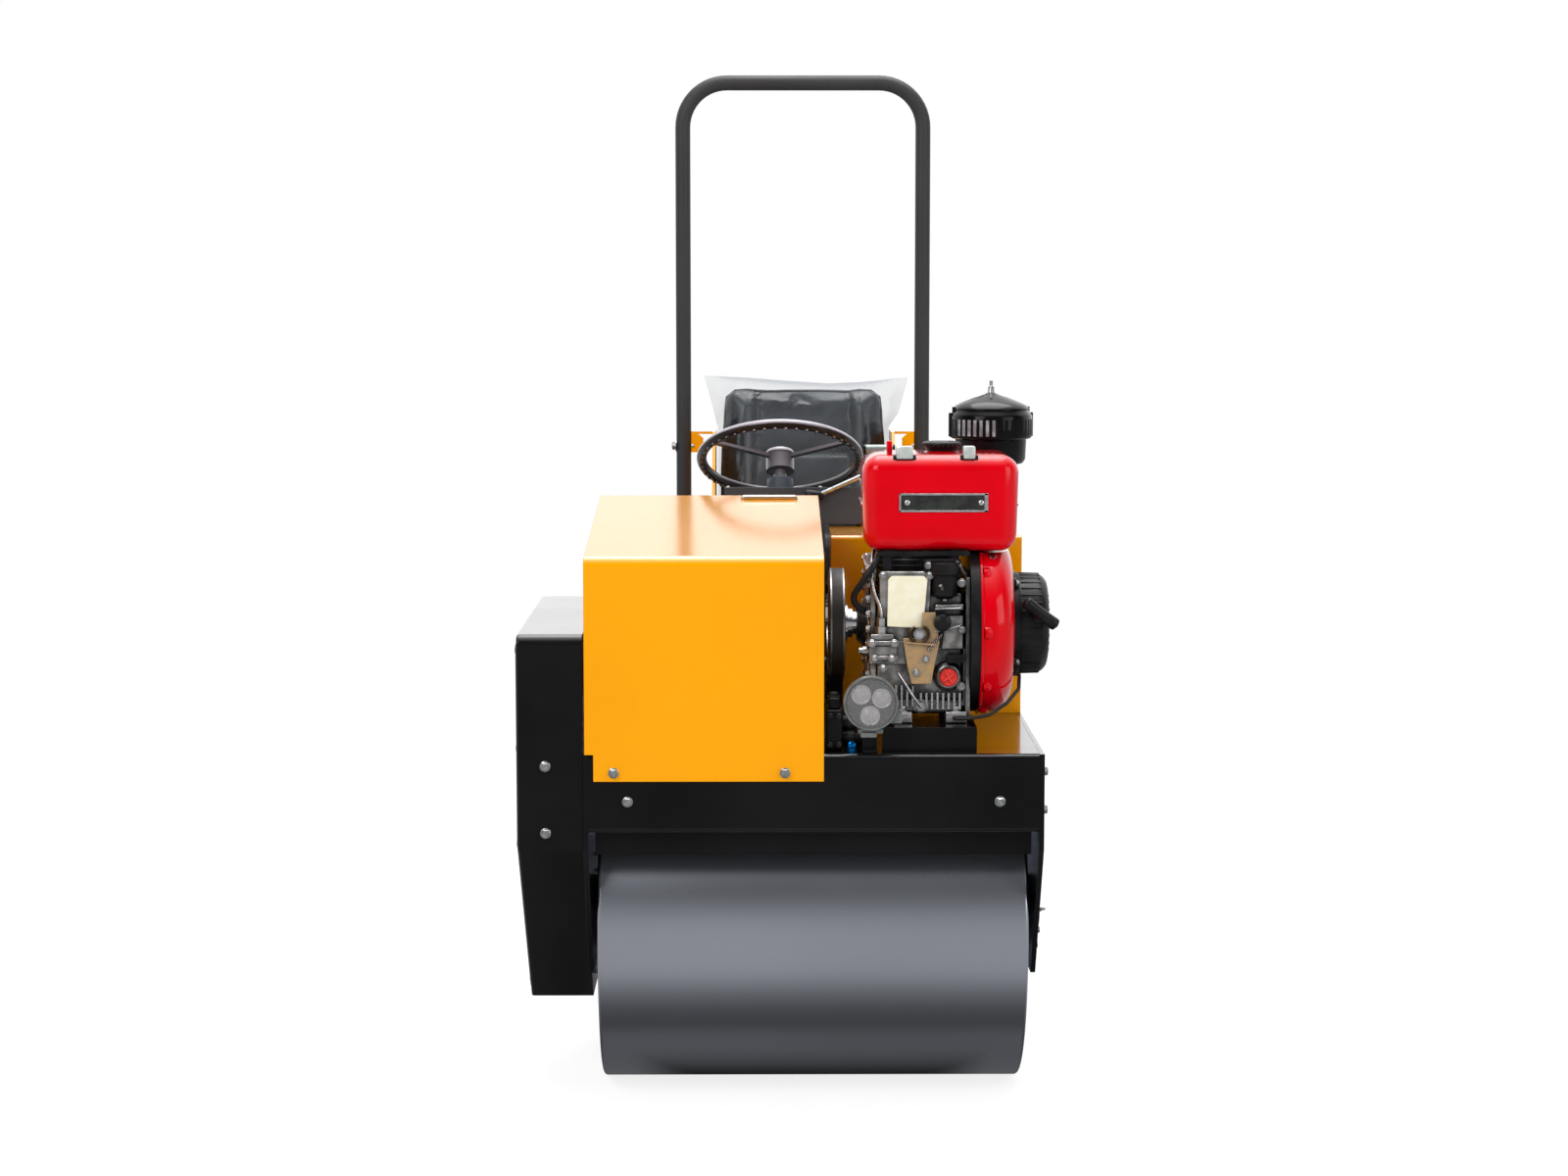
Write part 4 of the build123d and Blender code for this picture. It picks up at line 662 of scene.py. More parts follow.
# Painted shade: a dim copy of the engine red for the neck under the tank, standing for the shadow that the tank casts
# on it.
red_painted_shade = finish("engine_red_painted_shade", "engine_red", (0.2, 0.003, 0.004), (0.12, 0.002, 0.003), 0.34, 0.08, patch=0.03,
                   grime_and_shade=0.7)
cast_box((shroud_low.x + 0.012, crank.y - 0.092, crank.z + 0.09), (shroud_low.x + 0.03, crank.y + 0.08, under_tank))
piece("fan_duct_neck", red_painted_shade, 0.012, 4)

# Folded tabs and screws that hold the housing to the black back plate.
tabs = [back_plate + Vector((0, y, z)).normalized() * (rim - 0.01)
        for y, z in ((-0.118, 0.1), (-0.15, 0.0), (-0.118, -0.094), (-0.05, -0.141), (0.05, -0.141),
                     (0.118, -0.094), (0.15, 0.0), (0.118, 0.1))]
for tab in tabs:
    turned(tab + LEFT * 0.006, LEFT, ((0, 0.012), (0.008, 0.012), (0.012, 0.009), (0.014, 0.004)), 20)
piece("housing_tabs", red_paint)
for tab in tabs:
    hex_bolt(tab + LEFT * 0.018, LEFT, 0.009, 0.0065)
piece("housing_screws", zinc)

# Starter: a ribbed can with louvres round its face, a boss for the rope, and four lugs with screws.
recoil_high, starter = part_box("recoil_starter")[1], Vector((shroud_high.x, *crank.yz))
deep, can = recoil_high.x - starter.x, recoil_high.z - crank.z
turned(starter, LEFT, [(0, can - 0.004), (0.002, can), (0.01, can), (0.012, can - 0.003),
                       *((deep - 0.02 + 0.02 * on, can - 0.003 - 0.02 * drop) for on, drop in quarter_round(8)),
                       (deep, 0.052), (deep - 0.004, 0.048), (deep - 0.004, 0.03), (deep - 0.001, 0.027),
                       (deep - 0.001, 0.004)], 72)
for count, near, near_r, far, far_r, thick in ((36, 0.014, can - 0.004, deep - 0.013, can - 0.005, 0.0028),
                                               (24, deep + 0.0002, 0.053, deep - 0.003, 0.07, 0.0018)):
    for way in ring(count, "yz"):
        rod(starter + LEFT * near + way * near_r, starter + LEFT * far + way * far_r, thick, 8)
grip_low, grip_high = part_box("starter_grip")
grip_middle = (grip_low + grip_high) / 2
boss_root = Vector((grip_middle.x, *crank.yz))
rope_way = (grip_middle - boss_root).normalized()
turned(boss_root + rope_way * (can - 0.012), rope_way, ((0, 0.014), (0.012, 0.013), (0.014, 0.01), (0.016, 0.007)), 24)
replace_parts(piece("starter_can", engine_black, crease=32), "recoil_starter")
lugs = [starter + way * (can + 0.006) for way in ring(4, "yz", 38 / 90)]
for lug in lugs:
    turned(lug, LEFT, ((0, 0.009), (0.005, 0.009), (0.006, 0.007)), 20)
piece("starter_lugs", engine_black)
for lug in lugs:
    hex_bolt(lug + LEFT * 0.006, LEFT, 0.009)
turned(starter + LEFT * (deep - 0.001), LEFT, ((0, 0.008), (0.003, 0.008), (0.0035, 0.004)), 24)
piece("starter_screws", zinc)

# Grip: a moulded bar, thinner in the middle, hung on the rope's knot.
grip_way = Vector((grip_high.x - grip_low.x, 0, grip_low.z - grip_high.z)).normalized()
grip_half, grip_r, profile = 0.0345, 0.011, []
for k in range(25):
    reach = -1 + 2 * k / 24
    cap = math.sqrt(max(0.0, 1 - max(0.0, (abs(reach) - 0.8) / 0.2) ** 2))
    profile.append((grip_half * (1 + reach), max(grip_r * (0.86 + 0.14 * reach * reach) * cap, 0.0004)))
turned(grip_middle - grip_way * grip_half, grip_way, profile, 28)
rod(boss_root + rope_way * (can + 0.002), grip_middle, 0.003, 12)
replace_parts(piece("rope_grip", engine_black, crease=50), "starter_grip")

# --- Fuel tank -------------------------------------------------------------------------------------------
# Two deep-drawn steel halves welded at a seam and sprayed red, on straps over the crankcase. A black cap sits
# on a short neck between two zinc clips, and a bare black nameplate with a bright rim is riveted to the front.


def soft_box(low, high, corner, steps=2):
    """Adds a box whose edges and corners are all rounded to one radius, as pressed sheet is."""
    grown = bmesh.ops.create_cube(bench, size=1)["verts"]
    for vert in grown:
        vert.co = Vector((low[i] if vert.co[i] < 0 else high[i] for i in range(3)))
    around = list(dict.fromkeys(edge for vert in grown for edge in vert.link_edges))
    bmesh.ops.bevel(bench, geom=around, offset=corner, segments=steps, profile=0.5, affect="EDGES")


def soft_pad(place, low, high, corner, steps=2):
    """Adds a soft box between two corners that are given from a place."""
    soft_box(place + Vector(low), place + Vector(high), corner, steps)


soft_box(tank_low, tank_high, 0.03, 8)
tank_size = tank_high - tank_low
for vert in bench.verts:
    across, up = (vert.co.x - tank_low.x) / tank_size.x * 2 - 1, (vert.co.z - tank_low.z) / tank_size.z
    if up < 0.3:
        vert.co.z += 0.007 * (1 - across * across) * (1 - up / 0.3)
    vert.co.x -= across * 0.008 * max(0.0, 0.5 - up)
    if up > 0.75:
        vert.co.z -= 0.006 * across * across * (up - 0.75) / 0.25
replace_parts(piece("tank_shell", red_paint, crease=60), "fuel_tank")
seam_z = tank_low.z + tank_size.z * 0.46
soft_box((tank_low.x - 0.0004, tank_low.y + 0.03, seam_z), (tank_high.x + 0.0004, tank_high.y + 0.001, seam_z + 0.004),
         0.0015)
piece("tank_seam", red_paint)

plate_black = finish("nameplate_black", "engine_black", (0.015, 0.016, 0.015), (0.03, 0.034, 0.03), 0.3, patch=0.02)
left, right, foot, top, border, face_y = middle + 0.138, middle + 0.281, 0.982, 1.012, 0.003, tank_low.y
for x0, x1, z0, z1 in ((left, right, foot, foot + border), (left, right, top - border, top),
                       (left, left + border, foot, top), (right - border * 2, right, foot, top)):
    cast_box((x0, face_y - 0.0016, z0), (x1, face_y, z1))
for x in (left + 0.013, right - 0.011):
    turned((x, face_y - 0.0012, (foot + top) / 2), FRONT, ((0, 0.0045), (0.001, 0.0045), (0.002, 0.003)), 20)
piece("nameplate_rim", machined, 0.0004)
cast_box((left + border, face_y - 0.0012, foot + border), (right - border, face_y, top - border))
piece("nameplate", plate_black, 0.0003)


def cap_ribs(place, count, radius, low, high, thick):
    """Adds the upright grip ribs round a screw cap that stands at a place."""
    for way in ring(count, "xy"):
        rod(place + way * radius + UP * low, place + way * radius + UP * high, thick, 8)


cap_low, cap_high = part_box("tank_cap")
cap_foot, cap_r = Vector((*centre_of("tank_cap").xy, cap_low.z)), (cap_high.x - cap_low.x) / 2
turned(cap_foot + DOWN * 0.006, UP, ((0, 0.031), (0.003, 0.029), (0.005, 0.024), (0.007, 0.024)), 48)
piece("tank_neck", red_paint)
turned(cap_foot + DOWN * 0.003, UP, ((0, 0.024), (0.006, 0.026), (0.01, cap_r - 0.002), (0.013, cap_r),
                                     (0.0155, cap_r - 0.001), (0.017, cap_r - 0.006), (0.0165, 0.012),
                                     (0.017, 0.008)), 48)
cap_ribs(cap_foot, 24, cap_r - 0.002, 0.007, 0.0115, 0.0022)
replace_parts(piece("fuel_cap", engine_black, crease=35), "tank_cap")

pad_grey = finish("clip_zinc", "bright_steel", (0.72, 0.76, 0.72), (0.6, 0.65, 0.62), 0.4, metal=0.5, patch=0.01)
for name, x, half in (("tank_clip_right", 0.147, 0.0135), ("tank_clip_left", 0.251, 0.0095)):
    clip = Vector((middle + x, tank_low.y, tank_high.z - 0.01))
    soft_pad(clip, (-half, 0.006, 0), (half, 0.03, 0.02), 0.002)
    piece(name, pad_grey)
    soft_pad(clip, (-half - 0.005, 0.008, -0.006), (half + 0.005, 0.034, 0.006), 0.002)
    piece(name + "_foot", engine_black)
lug = Vector((middle + 0.119, tank_low.y + 0.03, tank_high.z - 0.006))
sheet_plate(((0, 0), (0.022, 0), (0.016, 0.022), (0.006, 0.024)), lambda u, v, w: lug + Vector((w, u, v)), 0.009)
piece("tank_lug", red_paint, 0.002, 3)
castings(*(box for x in (112, 222) for box in ((x, 8, 238, x + 14, 12, 277), (x, 8, 276, x + 22, 160, 279.5))),
         (104, 6, 270, 252, 9, 278))
piece("tank_straps", engine_black, 0.001)

# --- Air filter ------------------------------------------------------------------------------------------
# An oil-bath cleaner in black plastic: a bowl, a clipped band with upright slots, and a conical lid held by a
# cap nut on its stud.
filter_low, filter_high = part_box("air_filter")
gloss_black = finish("filter_black", "engine_black", (0.003, 0.003, 0.0035), (0.007, 0.007, 0.008), 0.22, ior=1.25,
                     coat=0.5, patch=0.05, grain=0.0015, depth=0.00008)
band_r = 0.07
bowl = (filter_high.x - band_r, (filter_low.y + filter_high.y) / 2)
band_z, cone_z, bowl_z, inlet_x = filter_high.z - 0.1, filter_high.z - 0.052, filter_low.z + 0.041, middle + 0.19
turned((*bowl, bowl_z), UP, ((0, 0.042), (0.003, 0.054), (0.01, 0.0585), (band_z - bowl_z, 0.06)), 56)
turned((*bowl, band_z), UP, ((-0.001, 0.058), (0.001, 0.066), (0.003, 0.069), (0.006, 0.0695), (0.0385, 0.0695),
                             (0.0425, 0.0675), (0.046, 0.064), (0.05, 0.062)), 72)
turned((*bowl, cone_z), UP, ((0, 0.0615), (0.001, 0.0635), (0.004, 0.0635), (0.0085, 0.0595), (0.015, 0.0455),
                             (0.0215, 0.029), (0.0245, 0.019), (0.0265, 0.013), (0.03, 0.006)), 72)
turned((*bowl, bowl_z - 0.025), UP, ((0, 0.03), (0.006, 0.034), (0.026, 0.034)), 40)
turned((inlet_x, bowl[1], filter_low.z + 0.0203), LEFT,
       ((0, 0.02), (0.004, 0.022), (0.012, 0.02), (bowl[0] - inlet_x + 0.02, 0.02)))
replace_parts(piece("air_cleaner", gloss_black, 0.0012, crease=32), "air_filter")
# Painted highlight: the slats on the left front of the band take a pale metal finish for the light that they catch on
# that side, and the rest stay gloss black; clear picks the lit ones.
slat_painted_highlight = finish("slat_painted_highlight", "engine_black", (0.62, 0.63, 0.65), (0.3, 0.3, 0.32), 0.16, metal=0.7, patch=0.015)
for name, material, clear in (("cleaner_slats", gloss_black, False), ("cleaner_highlit_slats", slat_painted_highlight, True)):
    for out in ring(40, "xy"):
        if (-0.85 < out.x < 0.08 and out.y < 0) == clear:
            foot, aside = Vector((*bowl, band_z + 0.007)) + out * 0.0685, Vector((-out.y, out.x, 0)) * 0.0034
            sheet_plate(((0, -1), (0.0016, -0.7), (0.0016, 0.7), (0, 1)),
                        lambda u, v, w: foot + out * u + aside * v + UP * w, 0.027)
    piece(name, material)
for out in ring(2, "xy", 0.15 / math.pi):
    for low_z, high_z, reach in ((band_z + 0.004, cone_z - 0.004, 0.0695), (cone_z - 0.004, cone_z + 0.006, 0.0635)):
        rod(Vector((*bowl, low_z)) + out * reach, Vector((*bowl, high_z)) + out * reach, 0.0035, 10)
piece("cleaner_clips", engine_black)
rod((*bowl, filter_high.z - 0.028), (*bowl, filter_high.z - 0.002), 0.003, 12)
turned((*bowl, filter_high.z - 0.025), UP, ((0, 0.0075), (0.003, 0.0058), (0.012, 0.0052), (0.0145, 0.003)), 20)
piece("cleaner_cap_nut", zinc)

# --- Headlight -------------------------------------------------------------------------------------------
# A round work lamp on the deck: a finned alloy housing and rim hold a clear pane over three moulded lens
# cells and a dark beaded reflector. A cast bracket below it is bolted to a folded black stem.
lamp_low, lamp_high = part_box("headlight")
lamp_r = (lamp_high.x - lamp_low.x) / 2
lamp = Vector(((lamp_low.x + lamp_high.x) / 2, lamp_low.y, lamp_high.z - lamp_r))
lamp_alloy = finish("lamp_alloy", "lamp_silver", (0.34, 0.36, 0.34), (0.24, 0.26, 0.25), 0.36, metal=0.8, patch=0.012,
                    grime_and_shade=0.5)
lamp_cell = finish("lamp_cell", "lamp_silver", (0.95, 0.91, 0.9), (0.7, 0.66, 0.66), 0.3, metal=0.1, patch=0.008,
                   grain=0.003, depth=0.0006, grime_and_shade=0.6)
lamp_shade = finish("lamp_reflector", "lamp_silver", (0.07, 0.068, 0.066), (0.035, 0.034, 0.034), 0.35, 0.08,
                    metal=0.3, patch=0.01, grime_and_shade=0.5)
lens = finish("lamp_lens", "lamp_silver", (0.95, 0.95, 0.95), (0.9, 0.9, 0.92), 0.05, 0.02, patch=0.02, depth=0.00005,
              alpha=0.07)
turned(lamp, BACK, [(reach, lamp_r - drop) for reach, drop in
                    ((0.011, 0.0035), (0.0018, 0.0045), (0.0, 0.0035), (0.0004, 0.001), (0.003, 0), (0.012, 0),
                     (0.014, 0.003), (0.03, 0.006), (0.044, 0.018), (0.05, 0.026))], 64)
for k in range(5):
    rod(lamp + BACK * (0.017 + k * 0.006), lamp + BACK * (0.019 + k * 0.006), lamp_r - 0.004 - k * 0.003, 48)
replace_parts(piece("lamp_housing", lamp_alloy, crease=35), "headlight")
for x, z in ((-0.0155, 0.0135), (0.0175, 0.0075), (-0.001, -0.0205)):
    turned(lamp + Vector((x, 0.011, z)), FRONT, ((0, 0.0158), (0.0042, 0.0158), (0.0048, 0.0148), (0.0035, 0.0125),
                                                 (0.005, 0.0095), (0.0068, 0.0055), (0.0074, 0.0015)), 36)
piece("lamp_cells", lamp_cell, crease=30)
for way in ring(24, "xz"):
    turned(lamp + way * (lamp_r - 0.0075) + BACK * 0.011, FRONT, ((0, 0.0036), (0.004, 0.003), (0.0055, 0.001)), 8)
turned(lamp + BACK * 0.0105, FRONT, ((0, lamp_r - 0.003), (0.0006, lamp_r - 0.003)), 48)
piece("lamp_reflector", lamp_shade, crease=30)
turned(lamp + BACK * 0.0022, FRONT, ((0, lamp_r - 0.0042), (0.0012, lamp_r - 0.005)), 48)
piece("lamp_lens_pane", lens)
for low, high in (((-0.02, 0.012, -lamp_r - 0.006), (0.02, lamp_high.y - lamp_low.y, -lamp_r + 0.002)),
                  ((-0.016, 0.01, -lamp_r - 0.012), (0.01, 0.02, -lamp_r - 0.003)),
                  ((0.03, 0.014, -0.034), (0.05, 0.024, -0.012))):
    cast_box(lamp + Vector(low), lamp + Vector(high))
piece("lamp_bracket", lamp_alloy, 0.0015)
stem_half, weld_gap = 0.012, 0.0005
for thick, top in ((0.006, lamp.z), (0.03, beam_high.z + 0.005)):
    cast_box((lamp.x - stem_half, lamp_high.y - thick, beam_high.z + weld_gap), (lamp.x + stem_half, lamp_high.y, top))
piece("lamp_stem", black_paint, 0.001)

# --- Deck hydraulics -------------------------------------------------------------------------------------
# Between the belt cover and the lamp stands the cast valve block, with black rubber hoses crimped into iron
# ferrules, and one blue anodised union at the front of the deck. Behind it the belt drives the pump.


def at(x, y, z):
    """A place in millimetres: left of the centre plane, behind the front axle, above the floor."""
    return Vector((middle + x / 1000, axle_y + y / 1000, z / 1000))


hose_rubber = finish("hose_rubber", "belt_rubber", (0.012, 0.012, 0.013), (0.02, 0.02, 0.021), 0.5, 0.1, patch=0.03,
                     grain=0.0009)
blue_anodised = finish("blue_anodised", "bright_steel", (0.0, 0.16, 0.52), (0.0, 0.22, 0.62), 0.25, 0.05, metal=0.9,
                       patch=0.01)
soft_box(at(20, -296, 602.3), at(47, -246, 668), 0.004, 3)
soft_box(at(24, -290, 668), at(43, -252, 686), 0.003, 3)
for z in (622, 645):
    turned(at(47, -272, z), LEFT, ((0, 0.011), (0.006, 0.011), (0.008, 0.008)), 24)
piece("valve_block", engine_black, 0.001)
for x, z in ((27, 612), (27, 658), (41, 612), (41, 658)):
    hex_bolt(at(x, -296, z), FRONT, 0.009)
hex_bolt(at(33, -271, 686), UP, 0.014, 0.011)
piece("valve_block_screws", iron)
for name, route in (("deck_hose_high", ((55, -272, 645), (66, -272, 645), (74, -262, 650), (74, -220, 664),
                                        (62, -160, 650), (60, -100, 622), (58, -40, 612), (58, 60, 611),
                                        (58, 108, 611))),
                    ("deck_hose_low", ((55, -272, 622), (72, -272, 621), (80, -260, 616), (80, -200, 612),
                                       (76, -100, 611), (72, 20, 611), (72, 108, 611)))):
    bent_bar(name, [at(*place) for place in route], 0.0085, hose_rubber, 6)
for z in (645, 622):
    turned(at(47, -272, z), LEFT, ((0, 0.0105), (0.007, 0.0105), (0.008, 0.0115), (0.018, 0.0115), (0.019, 0.0095)),
           20)
for x in (58, 72):
    turned(at(x, 109, 611), FRONT, ((0, 0.0085), (0.002, 0.0085), (0.003, 0.0105), (0.02, 0.0105), (0.021, 0.0095)),
           20)
piece("hose_ferrules", iron)
turned(at(61, -304, 602.3), UP, ((0, 0.008), (0.006, 0.008), (0.0065, 0.0055), (0.011, 0.0055)), 6)
turned(at(61, -304, 613), FRONT, ((-0.007, 0.006), (0.008, 0.006), (0.009, 0.0045)), 20)
piece("blue_union", blue_anodised)

# Belt drive: spun steel pulleys, painted grey, rubbed bright on the rims by the belt.
pulley_grey = finish("pulley_grey", "machined_iron", (0.3, 0.3, 0.31), (0.2, 0.2, 0.21), 0.3, 0.08, metal=0.85,
                     patch=0.02, grain=0.0015, depth=0.0001)
paint_nodes(finish("belt_rubber", "belt_rubber", (0.014, 0.013, 0.013), (0.022, 0.02, 0.02), 0.55, 0.1, patch=0.04,
                   grain=0.001))
pulley_r, thick = (pulley_high.z - pulley_low.z) / 2, pulley_high.x - pulley_low.x
turned((pulley_low.x, *crank.yz), LEFT,
       ((0, pulley_r * 0.5), (0.001, pulley_r - 0.004), (0.002, pulley_r), (0.0045, pulley_r),
        (0.0052, pulley_r - 0.0062), (0.0218, pulley_r - 0.0062), (0.0225, pulley_r), (thick - 0.002, pulley_r),
        (thick - 0.001, pulley_r - 0.004), (thick - 0.001, pulley_r - 0.008), (thick - 0.007, pulley_r - 0.012),
        (thick - 0.007, 0.036), (thick, 0.033), (thick, 0.02)), 72)
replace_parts(piece("drive_pulley", pulley_grey, crease=30), "engine_pulley")
frame["nodes"]["pump_pulley"].data.materials[0] = pulley_grey
for way in ring(4, "yz", 0.5):
    hex_bolt(Vector((pulley_high.x - 0.007, *crank.yz)) + way * 0.05, LEFT, 0.011, 0.008)
piece("drive_pulley_screws", zinc)

# --- Oil tank and console --------------------------------------------------------------------------------
# A welded box tank in machine yellow carries a black breather cap and a sight glass. The grey sheet console
# stands before it, with the hour meter, key and switches on its sloping panel, and a cross-handled lever.
oil_low, oil_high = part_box("oil_tank")
breather, oil_side = Vector((oil_high.x - 0.07, oil_low.y + 0.09, oil_high.z)), Vector((oil_high.x, *oil_low.yz))
turned(breather, UP, ((0, 0.03), (0.004, 0.03), (0.005, 0.024), (0.012, 0.024), (0.013, 0.029), (0.034, 0.029),
                      (0.038, 0.025)), 40)
cap_ribs(breather, 20, 0.0285, 0.015, 0.033, 0.002)
piece("breather_cap", engine_black)
soft_pad(oil_side, (0, 0.12, 0.1), (0.008, 0.145, 0.23), 0.004, 3)
piece("sight_glass_body", engine_black)
soft_pad(oil_side, (0.0072, 0.128, 0.118), (0.0092, 0.137, 0.212), 0.0009)
piece("sight_glass", lens)
for z in (0.107, 0.223):
    hex_bolt(oil_side + Vector((0.0078, 0.1325, z)), LEFT, 0.008)
hex_bolt((oil_high.x, oil_high.y - 0.04, oil_low.z + 0.03), LEFT, 0.022, 0.016)
piece("oil_tank_plugs", zinc)

paint_nodes(finish("console_grey", "console_grey", (0.072, 0.083, 0.1), (0.052, 0.061, 0.075), 0.24, ior=1.4,
                   patch=0.2, depth=0.0001, bend=0.0025))
wheel_axis = Vector(joints["steering_wheel_turn"]["axis"]).normalized()
if wheel_axis.z < 0:
    wheel_axis = -wheel_axis
down_panel, panel_top = Vector((0, wheel_axis.z, -wheel_axis.y)), at(0, 300, 982.6)


def on_panel(x, drop, rise=0.0):
    """A place on the console's panel: mm left of the centre plane, mm down its slope, mm off its face."""
    return panel_top + LEFT * (x / 1000) + down_panel * (drop / 1000) + wheel_axis * (rise / 1000)


dial_white = finish("dial_white", "console_grey", (0.85, 0.85, 0.82), (0.8, 0.8, 0.78), 0.4, 0.05, patch=0.02)
turned(on_panel(-118, 38), wheel_axis, ((0, 0.027), (0.004, 0.027), (0.006, 0.0245), (0.006, 0.0225),
                                        (0.003, 0.022)), 48)
turned(on_panel(-122, 92), wheel_axis, ((0, 0.0135), (0.004, 0.0135), (0.006, 0.011)))
for x, drop in ((-90, 104), (8, 100)):
    turned(on_panel(x, drop), wheel_axis, ((0, 0.011), (0.004, 0.011), (0.005, 0.0085), (0.011, 0.0085),
                                           (0.012, 0.007)), 28)
piece("panel_instruments", engine_black)
turned(on_panel(-118, 38, 3.1), wheel_axis, ((0, 0.0215), (0.0004, 0.0215)), 40)
piece("meter_dial", dial_white)
dial, lock = on_panel(-118, 38, 3.7), on_panel(-122, 92, 6)
sheet_plate(((-0.0012, -0.004), (0.0012, -0.004), (0.0004, 0.018), (-0.0004, 0.018)),
            lambda u, v, w: dial + LEFT * (u + v * 0.5) - down_panel * v * 0.85 + wheel_axis * w, 0.0006)
for k in range(9):
    angle = math.radians(-120 + 30 * k)
    tick = LEFT * math.sin(angle) - down_panel * math.cos(angle)
    rod(dial + tick * 0.0165, dial + tick * 0.0205, 0.0006, 6)
piece("meter_needle", engine_black)
turned(lock, wheel_axis, ((0, 0.0085), (0.001, 0.0085), (0.0014, 0.007)), 28)
sheet_plate(((-0.004, 0), (0.004, 0), (0.004, 0.012), (0.009, 0.016), (0.007, 0.028), (-0.007, 0.028),
             (-0.009, 0.016), (-0.004, 0.012)),
            lambda u, v, w: lock + down_panel * u + wheel_axis * v + LEFT * w, 0.0018)
piece("ignition_key", chrome, 0.0004)
for x, drop in ((-143, 8), (-143, 128), (22, 8), (22, 128)):
    hex_bolt(on_panel(x, drop), wheel_axis, 0.007, 0.0055)
piece("panel_screws", zinc)

# Throttle rod along the top of the console's wing, and the rubber boot of the travel lever.
bent_bar("throttle_rod", [at(24, 293, 971), at(60, 293, 987), at(92, 294, 1001), at(98, 296, 1004)], 0.0042, zinc)
turned(at(18, 293, 968), (-1, 0, 0.1), ((-0.01, 0.006), (0, 0.009), (0.02, 0.009), (0.024, 0.006)), 20)
turned(at(97, 296, 1003), (0.9, 0, 0.4), ((0, 0.006), (0.006, 0.0095), (0.018, 0.0095), (0.023, 0.005)), 20)
piece("throttle_knobs", engine_black)
lever_low, lever_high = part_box("drive_lever")
frame["nodes"]["drive_lever"].data.materials[0] = finish("lever_grey", "bright_steel", (0.32, 0.37, 0.35),
                                                         (0.24, 0.28, 0.27), 0.35, metal=0.5, patch=0.02)
boot = [(0, 0.024), (0.002, 0.024)]
for k in range(5):
    boot += [(0.004 + k * 0.007, 0.021 - k * 0.0026), (0.0075 + k * 0.007, 0.017 - k * 0.0022)]
lever = centre_of("drive_lever")
turned((lever_low.x + 0.012, lever.y, oil_high.z), UP, boot)
piece("lever_boot", hose_rubber)
for side in (-1, 1):
    turned((lever.x + side * 0.024, lever.y, lever_high.z - 0.008), (side, 0, 0),
           ((0, 0.0085), (0.004, 0.0085), (0.0045, 0.007)), 20)
piece("lever_grip_ends", engine_black)

# --- Steering wheel --------------------------------------------------------------------------------------
# A moulded wheel with a soft black rim, three slim spokes and a plain cap over the nut. A pale mauve tone
# lies on what faces up, most of it on the front half: painted highlight and a dusty film both.
wheel_plastic = finish("wheel_plastic", "wheel_plastic", (0.012, 0.009, 0.009), (0.018, 0.013, 0.013), 0.16, 0.04,
                       ior=1.6, coat=1.0, patch=0.05, grain=0.0012, depth=0.00012)
tree = wheel_plastic.node_tree
shader = tree.nodes["Principled BSDF"]
# Painted highlight and dusty film: the colour turns pale mauve where the surface faces up, most on the front half.
faces_up = node(tree, "SeparateXYZ", {0: node(tree, "NewGeometry").outputs["Normal"]}).outputs["Z"]
to_back = node(tree, "SeparateXYZ", {0: node(tree, "TexCoord").outputs["Generated"]}).outputs["Y"]
dust_and_highlight = math_node(tree, "MULTIPLY", scaled(tree, faces_up, 0.1, 0.7, 0.0, 1.0),
                 scaled(tree, to_back, 0.15, 0.6, 0.95, 0.1))
clean = shader.inputs["Base Color"].links[0].from_socket
plug(tree, shader, {"Base Color": blend(tree, clean, (0.5, 0.46, 0.52, 1), dust_and_highlight)})
paint_nodes(wheel_plastic)
hub, rib_ring, rib_drop = at(-49, 440, 1025), 0.1445, 0.0093
turned(hub + wheel_axis * 0.0055, wheel_axis, ((0, 0.0275), (0.003, 0.0275), (0.007, 0.025), (0.009, 0.018),
                                               (0.0095, 0.008)), 40)
piece("wheel_cap", wheel_plastic, body="steering_wheel")
for way in ring(48, "xy", 0.5):
    out = LEFT * way.x - down_panel * way.y
    turned(hub + out * rib_ring - wheel_axis * rib_drop, out, ((-0.003, 0.0022), (0.003, 0.0022)), 8)
piece("wheel_finger_ribs", wheel_plastic, body="steering_wheel")
turned(at(92, 402, 1047), (0, -1, 0.4), ((0, 0.004), (0.004, 0.004), (0.0055, 0.0025)), 16)
piece("wheel_red_dot", red_plastic, body="steering_wheel")

# --- Rear frame ------------------------------------------------------------------------------------------
# Seat box and guards are folded sheet in machine yellow. The roll hoop is bent tube, bolted through lugs on
# the guards. Footplates have pressed studs, and the moulded water tank has a black cap and a brass tap.
frame["nodes"]["hoop"].data.materials[0] = finish("tube_black", "frame_black", (0.033, 0.033, 0.035),
                                                  (0.04, 0.04, 0.042), 0.5, 0.05, ior=1.4, patch=0.2, grain=0.0012,
                                                  depth=0.0001)
hoop_y, lug_out, lug_in = 1000, 255, 224.5
for hand in (-1, 1):
    for z in (1016, 520):
        hex_bolt(at(hand * lug_out, hoop_y, z), (hand, 0, 0), 0.016, 0.012)
        hex_bolt(at(hand * lug_in, hoop_y, z), (-hand, 0, 0), 0.014)
piece("hoop_screws", zinc, body="rear_frame")
stud_rows, stud_x, stud_y, stud_pitch_x, stud_pitch_y = 6, 0.018, 0.02, 0.0232, 0.024
for plate in ("footplate_left", "footplate_right"):
    low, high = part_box(plate)
    for i in range(stud_rows):
        for j in range(1 - i % 2, stud_rows, 2):
            turned((low.x + stud_x + i * stud_pitch_x, low.y + stud_y + j * stud_pitch_y, high.z - 0.0007), UP,
                   ((0, 0.006), (0.0022, 0.0042), (0.0022, 0.002)), 12)
piece("footplate_studs", black_paint, body="rear_frame")

